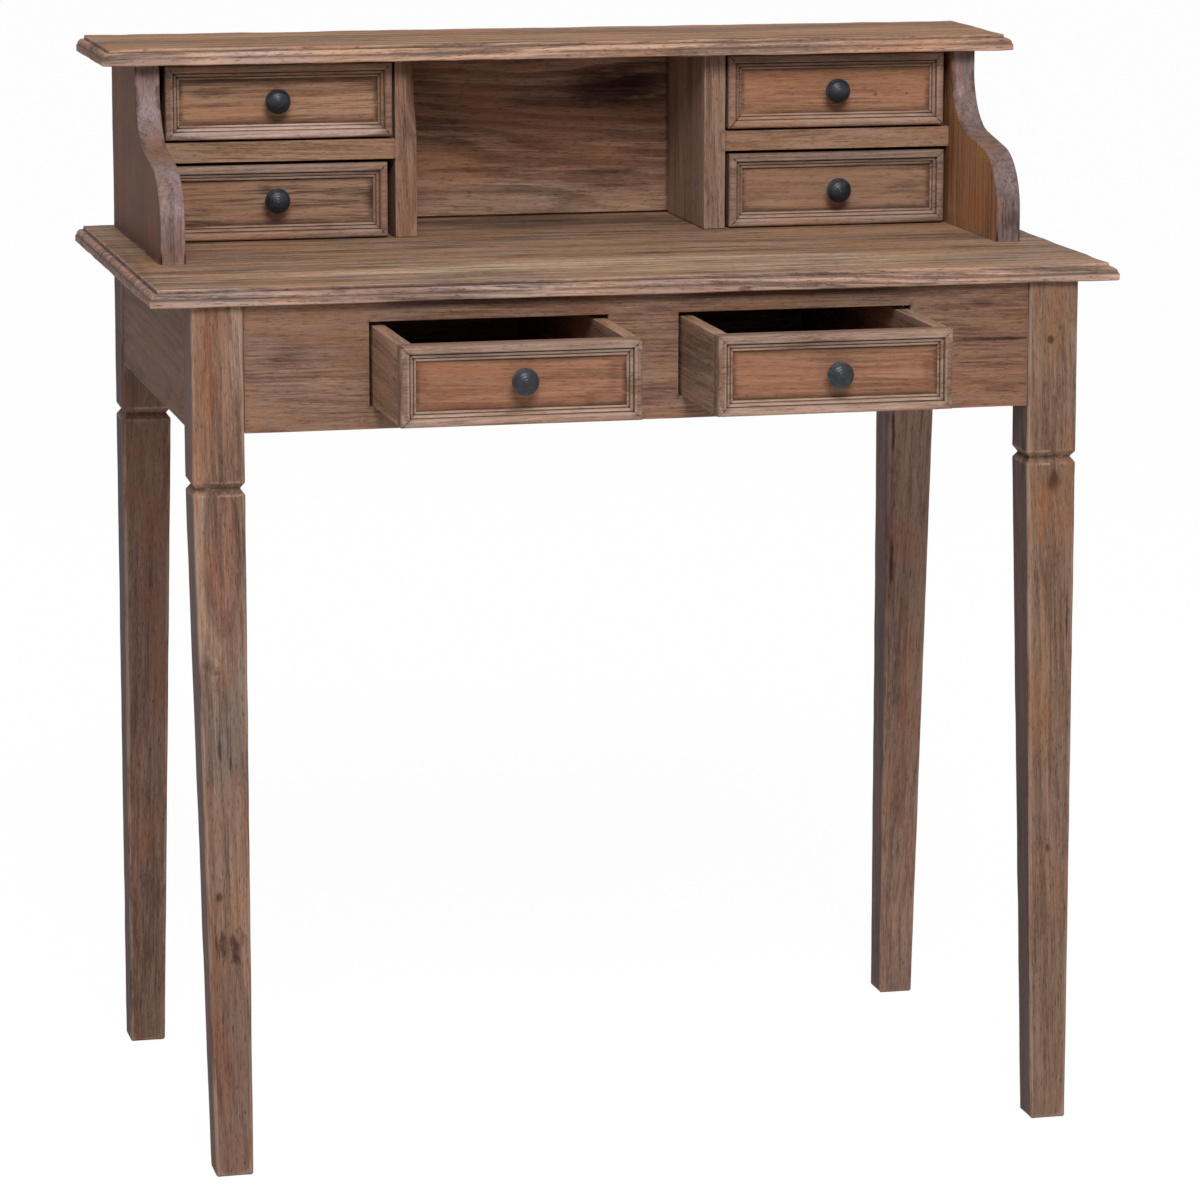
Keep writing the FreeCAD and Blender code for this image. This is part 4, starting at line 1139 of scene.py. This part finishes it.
@dataclass
class Table(Carcass):
    """The table: top, legs, aprons, and what its drawers run on."""

    top_arris: float = 0.45
    board_arris: float = 0.8
    legs: Sequence[str] = ("front_left", "front_right", "rear_left", "rear_right")
    standing: Sequence[str] = (
        "hutch_side_left", "hutch_side_right", "partition_left", "partition_right",
    )

    def build(self) -> None:
        """Makes every board of the table."""
        # The top's edges are lighter and greyer: worn wood, and painted light on edges that face the
        # front.
        self.board("table_top", Wood.TOP, Axis.X, self.top_arris, wobble=0.9, step=14.0,
                   neighbours=self.standing, marks=TOP_MARKS,
                   face_tones={Facing.EDGES: (1.40, 1.42, 1.62)})
        for name in self.legs:
            # The legs' left faces are darker and bluer: painted shade.
            self.board(f"leg_{name}", Wood.LEG, Axis.Z, 0.7, wobble=0.4, tone=LEG_TONES[name],
                       marks=LEG_MARKS[name], face_tones={Facing.LEFT: (0.58, 0.62, 0.78)})
        legs = [f"leg_{name}" for name in self.legs]
        self.board("front_apron", Wood.CARCASS, Axis.X, self.board_arris, wobble=0.2,
                   neighbours=legs[:2], marks=APRON_MARKS)
        self.board("back_apron", Wood.CARCASS, Axis.X, self.board_arris, neighbours=legs[2:])
        for side in ("left", "right"):
            self.board(f"side_apron_{side}", Wood.SIDE, Axis.Y, self.board_arris,
                       neighbours=legs, tone=(0.70, 0.62, 0.60))
            for piece in (f"runner_{side}_inner", f"runner_{side}_outer", f"kicker_{side}"):
                Board(piece, self.body, "box_wood", Wood.BOX, Axis.Y, 0.6).build()


@dataclass
class Hutch(Carcass):
    """The hutch: scroll-cut sides, partitions, shelves, back and top."""

    slot: str = "hutch_wood"

    def build(self) -> None:
        """Makes every board of the hutch."""
        # Both of these tint faces that look left: painted shade darkens the left side's outer face, and
        # painted light lifts the right side's inner face.
        left_face_light_and_shade = {"left": (0.59, 0.46, 0.39), "right": (1.80, 1.62, 1.22)}
        partitions = {"left": (0.97, 0.95, 0.96), "right": (1.0, 1.12, 1.20)}
        shelves = {"left": (1.28, 1.34, 1.26), "right": (1.12, 1.16, 1.15)}
        for side in ("left", "right"):
            self.board(f"hutch_side_{side}", Wood.LEG, Axis.Z, 0.5, wobble=0.4,
                       neighbours=[f"shelf_{side}"], marks=SCROLL_MARKS[side],
                       face_tones={Facing.EDGES: (0.97, 1.15, 1.58), Facing.LEFT: left_face_light_and_shade[side],
                                   Facing.BACK: (1.05, 0.86, 0.64)})
            # The partitions' left faces are lighter: painted light on faces that look into the hutch's
            # shade.
            self.board(f"partition_{side}", Wood.CARCASS, Axis.Z, 1.0, wobble=0.5,
                       tone=partitions[side], face_tones={Facing.LEFT: (1.6, 1.7, 1.8)})
            self.board(f"shelf_{side}", Wood.CARCASS, Axis.X, 0.0, wobble=0.15,
                       neighbours=[f"partition_{side}", f"hutch_side_{side}"],
                       tone=shelves[side])
        # The back's tone lifts it further: painted light.
        self.board("hutch_back", Wood.BACK, Axis.X, 0.5, wobble=0.2, tone=(1.14, 1.20, 1.26),
                   neighbours=["partition_left", "partition_right"], marks=BACK_MARKS)
        self.board("hutch_top", Wood.TOP, Axis.X, 0.45, wobble=0.9, step=14.0,
                   tone=(1.16, 1.00, 0.82), marks=CROWN_MARKS,
                   face_tones={Facing.EDGES: (1.38, 1.57, 2.00)})


@dataclass
class Drawer:
    """One drawer with its front, moulding, box and knob; its name is its body's."""

    name: str
    marks: tuple[Mark, ...] = ()
    tone: Colour = (1.0, 1.0, 1.0)
    wood: Wood = Wood.PANEL
    # Tints of the moulding's strips, as painted light and shade: the bottom strip, which faces up, is
    # lighter, the side strips darker, and the top strip darker on some drawers and lighter on others.
    bottom_strip_painted_light: Colour = (1.18, 1.16, 1.18)
    top_strip_painted_light: Colour = (0.86, 0.88, 0.92)
    side_strips: Colour = (0.71, 0.66, 0.64)
    moulding_width: float = 13.0 * MM

    def build(self) -> None:
        """Makes the drawer's pieces."""
        low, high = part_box(f"{self.name}_front")
        inner_low = Vector((low.x + self.moulding_width, low.y, low.z + self.moulding_width))
        inner_high = Vector((high.x - self.moulding_width, low.y, high.z - self.moulding_width))
        # The panel darkens along the moulding's inner edge: painted shade, with some dirt.
        frame_line = box_edges(inner_low, inner_high)
        mitres = [
            (Vector((x, low.y, z)), Vector((inner_x, low.y, inner_z)))
            for x, inner_x in ((low.x, inner_low.x), (high.x, inner_high.x))
            for z, inner_z in ((low.z, inner_low.z), (high.z, inner_high.z))
        ]
        Board(f"{self.name}_front", self.name, "panel_wood", self.wood, Axis.X, 0.4,
              wobble=0.1, creases=frame_line, tone=self.tone, marks=self.marks,
              face_tones={Facing.EDGES: (0.78, 0.92, 1.12)}).build()
        Board(f"{self.name}_moulding", self.name, "moulding_wood", Wood.MOULDING, None, 0.15,
              wobble=0.3, step=12.0, mitres=mitres, marks=self._strip_painted_light()).build()
        for part, axis in (("sides", Axis.Y), ("back", Axis.X), ("bottom", None)):
            Board(f"{self.name}_{part}", self.name, "box_wood", Wood.BOX, axis,
                  0.7 if part == "sides" else 0.4).build()
        Knob(self.name).build()

    def _strip_painted_light(self) -> tuple[Mark, ...]:
        """The painted light and shade of the moulding's strips, by which way each faces.

        Returns:
            A mark for each of the four strips.
        """
        low, high = (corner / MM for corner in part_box(f"{self.name}_moulding"))
        middle, half = (low + high) / 2, (high - low) / 2
        inset = self.moulding_width / MM / 2
        lying, standing = (half.x, 30.0, inset * 1.3), (inset * 1.3, 30.0, half.z)
        return (
            Mark((middle.x, low.y, low.z + inset), lying, self.bottom_strip_painted_light, 1.0, 0.8, 0.3),
            Mark((middle.x, low.y, high.z - inset), lying, self.top_strip_painted_light, 1.0, 0.8, 0.3),
            Mark((low.x + inset, low.y, middle.z), standing, self.side_strips, 1.0, 0.8, 0.3),
            Mark((high.x - inset, low.y, middle.z), standing, self.side_strips, 1.0, 0.8, 0.3),
        )


@dataclass
class Knob:
    """A turned knob: stepped foot, stem, and a low dome with rings and a centre dot."""

    drawer: str
    sides: int = 48
    ring_places: Sequence[float] = (0.30, 0.55, 0.84)
    ring_depth: float = 0.22 * MM
    ring_width: float = 0.035
    boss: float = 0.8 * MM
    rise: float = 6.0 * MM
    rim: float = 2.0 * MM
    waist: float = 0.93
    neck: float = 4.5 * MM
    foot: float = 6.5 * MM
    stud: float = 2.0 * MM
    stud_length: float = 14.0 * MM

    def build(self) -> bpy.types.Object:
        """Makes the knob in place of its CAD node.

        Returns:
            The new object.
        """
        low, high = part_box(f"{self.drawer}_knob")
        middle, radius = (low + high) / 2, (high.x - low.x) / 2
        profile = self._profile(radius, high.y - low.y)
        mesh = bpy.data.meshes.new(f"{self.drawer}_knob_turned")
        self._lathe(mesh, profile, Vector((middle.x, low.y, middle.z)))
        knob = placed(f"{self.drawer}_knob_turned", mesh)
        mesh.materials.append(material_of(IRON))
        smooth_by_weight(knob, 50.0)
        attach(knob, self.drawer)
        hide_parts(f"{self.drawer}_knob")
        LOG.info("%s: %d faces", knob.name, len(mesh.polygons))
        return knob

    def _profile(self, radius: float, reach: float) -> list[tuple[float, float, float]]:
        """The turned outline from the crown to the end of the stud.

        Args:
            radius: Of the dome.
            reach: From the crown to the end of the stud.

        Returns:
            Rows of (radius, depth behind the crown, polish and painted highlight from 0 to 1).
        """
        rise, rim, waist = self.rise, self.rim, radius * self.waist
        dome = (rise**2 + radius**2) / (2 * rise)
        rows = [(0.0, 0.0, 1.0), (self.boss * 0.7, 0.02 * MM, 1.0), (self.boss, 0.25 * MM, 0.3)]
        steps = 40
        for index in range(1, steps + 1):
            out = self.boss * 1.15 + (radius * 0.985 - self.boss * 1.15) * index / steps
            depth = dome - math.sqrt(dome**2 - out**2)
            dip = sum(
                math.exp(-(((out / radius - place) / self.ring_width) ** 2)) for place in self.ring_places
            )
            # The crown, the crests between the rings and the rim get polish and painted highlights.
            rows.append((out, depth + 0.15 * MM * (1 - out / radius) + dip * self.ring_depth,
                         max(0.0, 0.45 - dip) + (0.5 if out > waist else 0.0)))
        rows += [(radius, rise + 0.35 * MM, 1.0), (radius, rise + rim - 0.3 * MM, 0.6),
                 (radius * 0.97, rise + rim, 0.2)]
        neck, foot, board = self.neck, self.foot, reach - self.stud_length
        for index in range(9):
            turn = index / 8 * math.pi / 2
            rows.append((waist - (waist - neck) * math.sin(turn),
                         rise + rim + 1.9 * MM * (1 - math.cos(turn)) * 0.99, 0.0))
        rows += [(neck, board - 2.4 * MM, 0.0), (foot * 0.94, board - 0.8 * MM, 0.0),
                 (foot, board - 0.2 * MM, 0.3), (foot, board, 0.0), (self.stud, board, 0.0),
                 (self.stud, reach, 0.0), (0.0, reach, 0.0)]
        return rows

    def _lathe(self, mesh: bpy.types.Mesh, profile: Sequence[tuple], crown: Vector) -> None:
        """Turns the outline round the knob's axis, which runs back from the crown along +Y.

        Args:
            mesh: Receives the shape and its polish and painted highlights.
            profile: The rows that _profile gives.
            crown: The foremost point of the dome.
        """
        points, faces, polish_and_highlight = [], [], []
        for out, depth, shine in profile:
            count = 1 if out == 0.0 else self.sides
            for index in range(count):
                turn = 2 * math.pi * index / self.sides
                across = Vector((math.cos(turn) * out, depth, math.sin(turn) * out))
                points.append(crown + across)
                polish_and_highlight.append(shine)
        first = 0
        for row in range(len(profile) - 1):
            here = 1 if profile[row][0] == 0.0 else self.sides
            there = 1 if profile[row + 1][0] == 0.0 else self.sides
            following = first + here
            for index in range(self.sides):
                after = (index + 1) % self.sides
                if here == 1:
                    faces.append((first, following + index, following + after))
                elif there == 1:
                    faces.append((first + after, first + index, following))
                else:
                    faces.append((first + after, first + index, following + index, following + after))
            first = following
        mesh.from_pydata([p[:] for p in points], [], faces)
        solid = bmesh.new()
        solid.from_mesh(mesh)
        bmesh.ops.recalc_face_normals(solid, faces=solid.faces)
        solid.to_mesh(mesh)
        solid.free()
        write_attribute(mesh, "edge", "FLOAT", "value", np.array(polish_and_highlight))


IRON = IronFinish()
# Painted shade on the side strips of the hutch drawers' mouldings.
SIDE_STRIP_PAINTED_SHADE = (0.95, 0.91, 0.90)
DRAWERS = (
    Drawer("table_drawer_left", (
        Mark((-55, -285, 704), (9, 6, 20), UMBER, 0.5, 0.0),
        Mark((-216, -285, 705), (8, 6, 16), UMBER, 0.4, 0.0, 1.2),
    ), (0.94, 0.92, 0.93)),
    Drawer("table_drawer_right", (
        Mark((217, -285, 702), (8, 6, 19), UMBER, 0.6, 0.0),
        Mark((160, -285, 688), (30, 6, 5), UMBER, 0.3, 0.0, 1.2),
    ), (0.92, 0.94, 0.97)),
    Drawer("hutch_drawer_upper_left", (
        Mark((-327, 155, 904), (40, 6, 6), DARK, 0.6, 0.0, 1.6),
        Mark((-205, 155, 908), (42, 6, 7), TAN, 0.6, 0.0, 1.4),
        Mark((-300, 155, 886), (60, 6, 9), ORANGE, 0.6, 0.0, 1.2),
    ), (0.92, 1.00, 1.13), Wood.FIGURED, (1.90, 2.20, 2.75), (1.30, 1.30, 1.25), SIDE_STRIP_PAINTED_SHADE),
    Drawer("hutch_drawer_lower_left", (
        Mark((-177, 155, 809), (8, 6, 19), UMBER, 0.8, 0.0, 1.2),
        Mark((-330, 155, 797), (22, 6, 10), UMBER, 0.5, 0.0, 2.4),
        Mark((-272, 155, 818), (10, 6, 6), DARK, 0.6, 0.0, 1.4),
    ), (0.84, 0.92, 1.08), Wood.FIGURED, top_strip_painted_light=(1.05, 1.18, 1.35), side_strips=SIDE_STRIP_PAINTED_SHADE),
    Drawer("hutch_drawer_upper_right", (
        Mark((298, 155, 892), (2.8, 6, 2.8), UMBER, 0.9, 0.2, 0.8),
        Mark((328, 155, 892), (2.2, 6, 2.2), UMBER, 0.8, 0.2, 0.8),
        Mark((200, 155, 876), (30, 6, 6), DARK, 0.4, 0.0, 1.6),
    ), (1.22, 1.25, 1.26), side_strips=SIDE_STRIP_PAINTED_SHADE),
    Drawer("hutch_drawer_lower_right", (
        Mark((215, 155, 790), (46, 6, 6), GOLD, 0.5, 0.0, 1.2),
        Mark((330, 155, 806), (18, 6, 9), UMBER, 0.35, 0.0, 1.4),
    ), (0.90, 1.06, 1.17), side_strips=SIDE_STRIP_PAINTED_SHADE),
)


# --- studio ------------------------------------------------------------------------------


@dataclass
class Studio:
    """Pale floor, soft lights and camera; lengths in metres, angles in radians."""

    floor_span: float = 60.0
    floor_glow: float = 1.035
    floor_share: float = 0.93
    ambient: float = 0.35
    ambient_tint: Colour = (0.95, 0.99, 1.06)
    key_level: float = 0.80
    key_tint: Colour = (1.02, 1.0, 0.96)
    key_from: Vector = field(default_factory=lambda: Vector((-0.45, -3.8, 3.75)))
    key_aim: Vector = field(default_factory=lambda: Vector((0.0, 0.0, 0.6)))
    key_size: float = 2.2
    camera_at: Vector = field(default_factory=lambda: Vector((-1.0128, -4.3105, 1.3184)))
    yaw: float = 0.247
    pitch: float = 0.172
    roll: float = -0.003
    focal_pixels: float = 5039.2
    frame_pixels: float = 1200.0
    centre_pixels: tuple[float, float] = (680.0, 500.0)

    def build(self) -> None:
        """Makes the floor, the lights, the world and the camera."""
        self._floor()
        self._key()
        self._world()
        self._camera()

    def _floor(self) -> None:
        """A wide plain floor that shows nearly white and keeps the desk's shadow."""
        mesh = bpy.data.meshes.new("floor")
        half = self.floor_span
        corners = [(-half, -half, 0.0), (half, -half, 0.0), (half, half, 0.0), (-half, half, 0.0)]
        mesh.from_pydata(corners, [], [(0, 1, 2, 3)])
        floor = placed("floor", mesh)
        sheet = ShaderSheet(bpy.data.materials.new("pale_floor"))
        paper = sheet.add("ShaderNodeBsdfDiffuse", {}, {"Color": (0.9, 0.9, 0.9)})
        glow = sheet.add("ShaderNodeEmission", {}, {"Color": (1.0, 1.0, 1.0), "Strength": self.floor_glow})
        share = sheet.seen() * self.floor_share
        both = sheet.add("ShaderNodeMixShader", {}, {0: share, 1: paper, 2: glow})
        sheet.end("ShaderNodeOutputMaterial", both)
        mesh.materials.append(sheet.owner)

    def _key(self) -> None:
        """One large softbox in front and above."""
        distance = (self.key_from - self.key_aim).length
        lamp = bpy.data.lights.new("key", "AREA")
        lamp.shape = "DISK"
        lamp.size = self.key_size
        lamp.energy = math.pi**2 * self.key_level * distance**2
        lamp.color = self.key_tint
        key = placed("key", lamp)
        key.location = self.key_from
        aim = self.key_aim - self.key_from
        key.rotation_euler = aim.to_track_quat("-Z", "Y").to_euler()

    def _world(self) -> None:
        """Even fill light that shows as white where the camera looks."""
        world = bpy.data.worlds.new("studio")
        bpy.context.scene.world = world
        sheet = ShaderSheet(world)
        sockets = {"Color": self.ambient_tint, "Strength": self.ambient}
        fill = sheet.add("ShaderNodeBackground", {}, sockets)
        white = sheet.add("ShaderNodeBackground", {}, {"Color": (1.0, 1.0, 1.0)})
        both = sheet.add("ShaderNodeMixShader", {}, {0: sheet.seen(), 1: fill, 2: white})
        sheet.end("ShaderNodeOutputWorld", both)

    def _camera(self) -> None:
        """A long lens from the front left and above, with a small shift for the framing."""
        lens = bpy.data.cameras.new("camera")
        lens.sensor_width = 36.0
        lens.lens = self.focal_pixels / self.frame_pixels * lens.sensor_width
        half = self.frame_pixels / 2
        lens.shift_x = -(self.centre_pixels[0] - half) / self.frame_pixels
        lens.shift_y = -(half - self.centre_pixels[1]) / self.frame_pixels
        lens.clip_start, lens.clip_end = 0.05, 500.0
        camera = placed("camera", lens)
        ahead = Vector((
            math.sin(self.yaw) * math.cos(self.pitch),
            math.cos(self.yaw) * math.cos(self.pitch),
            -math.sin(self.pitch),
        ))
        right = Vector((math.cos(self.yaw), -math.sin(self.yaw), 0.0))
        down = ahead.cross(right)
        turned = right * math.cos(self.roll) + down * math.sin(self.roll)
        up = right * math.sin(self.roll) - down * math.cos(self.roll)
        camera.matrix_world = Matrix((
            (turned.x, up.x, -ahead.x, self.camera_at.x),
            (turned.y, up.y, -ahead.y, self.camera_at.y),
            (turned.z, up.z, -ahead.z, self.camera_at.z),
            (0.0, 0.0, 0.0, 1.0),
        ))
        bpy.context.scene.camera = camera


def main() -> None:
    """Builds the studio and the desk."""
    logging.basicConfig(level=logging.INFO, format="%(name)s: %(message)s")
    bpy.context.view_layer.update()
    bpy.context.scene.view_settings.view_transform = "Standard"
    Studio().build()
    Table().build()
    Hutch().build()
    for drawer in DRAWERS:
        drawer.build()


if __name__ == "__main__":
    main()
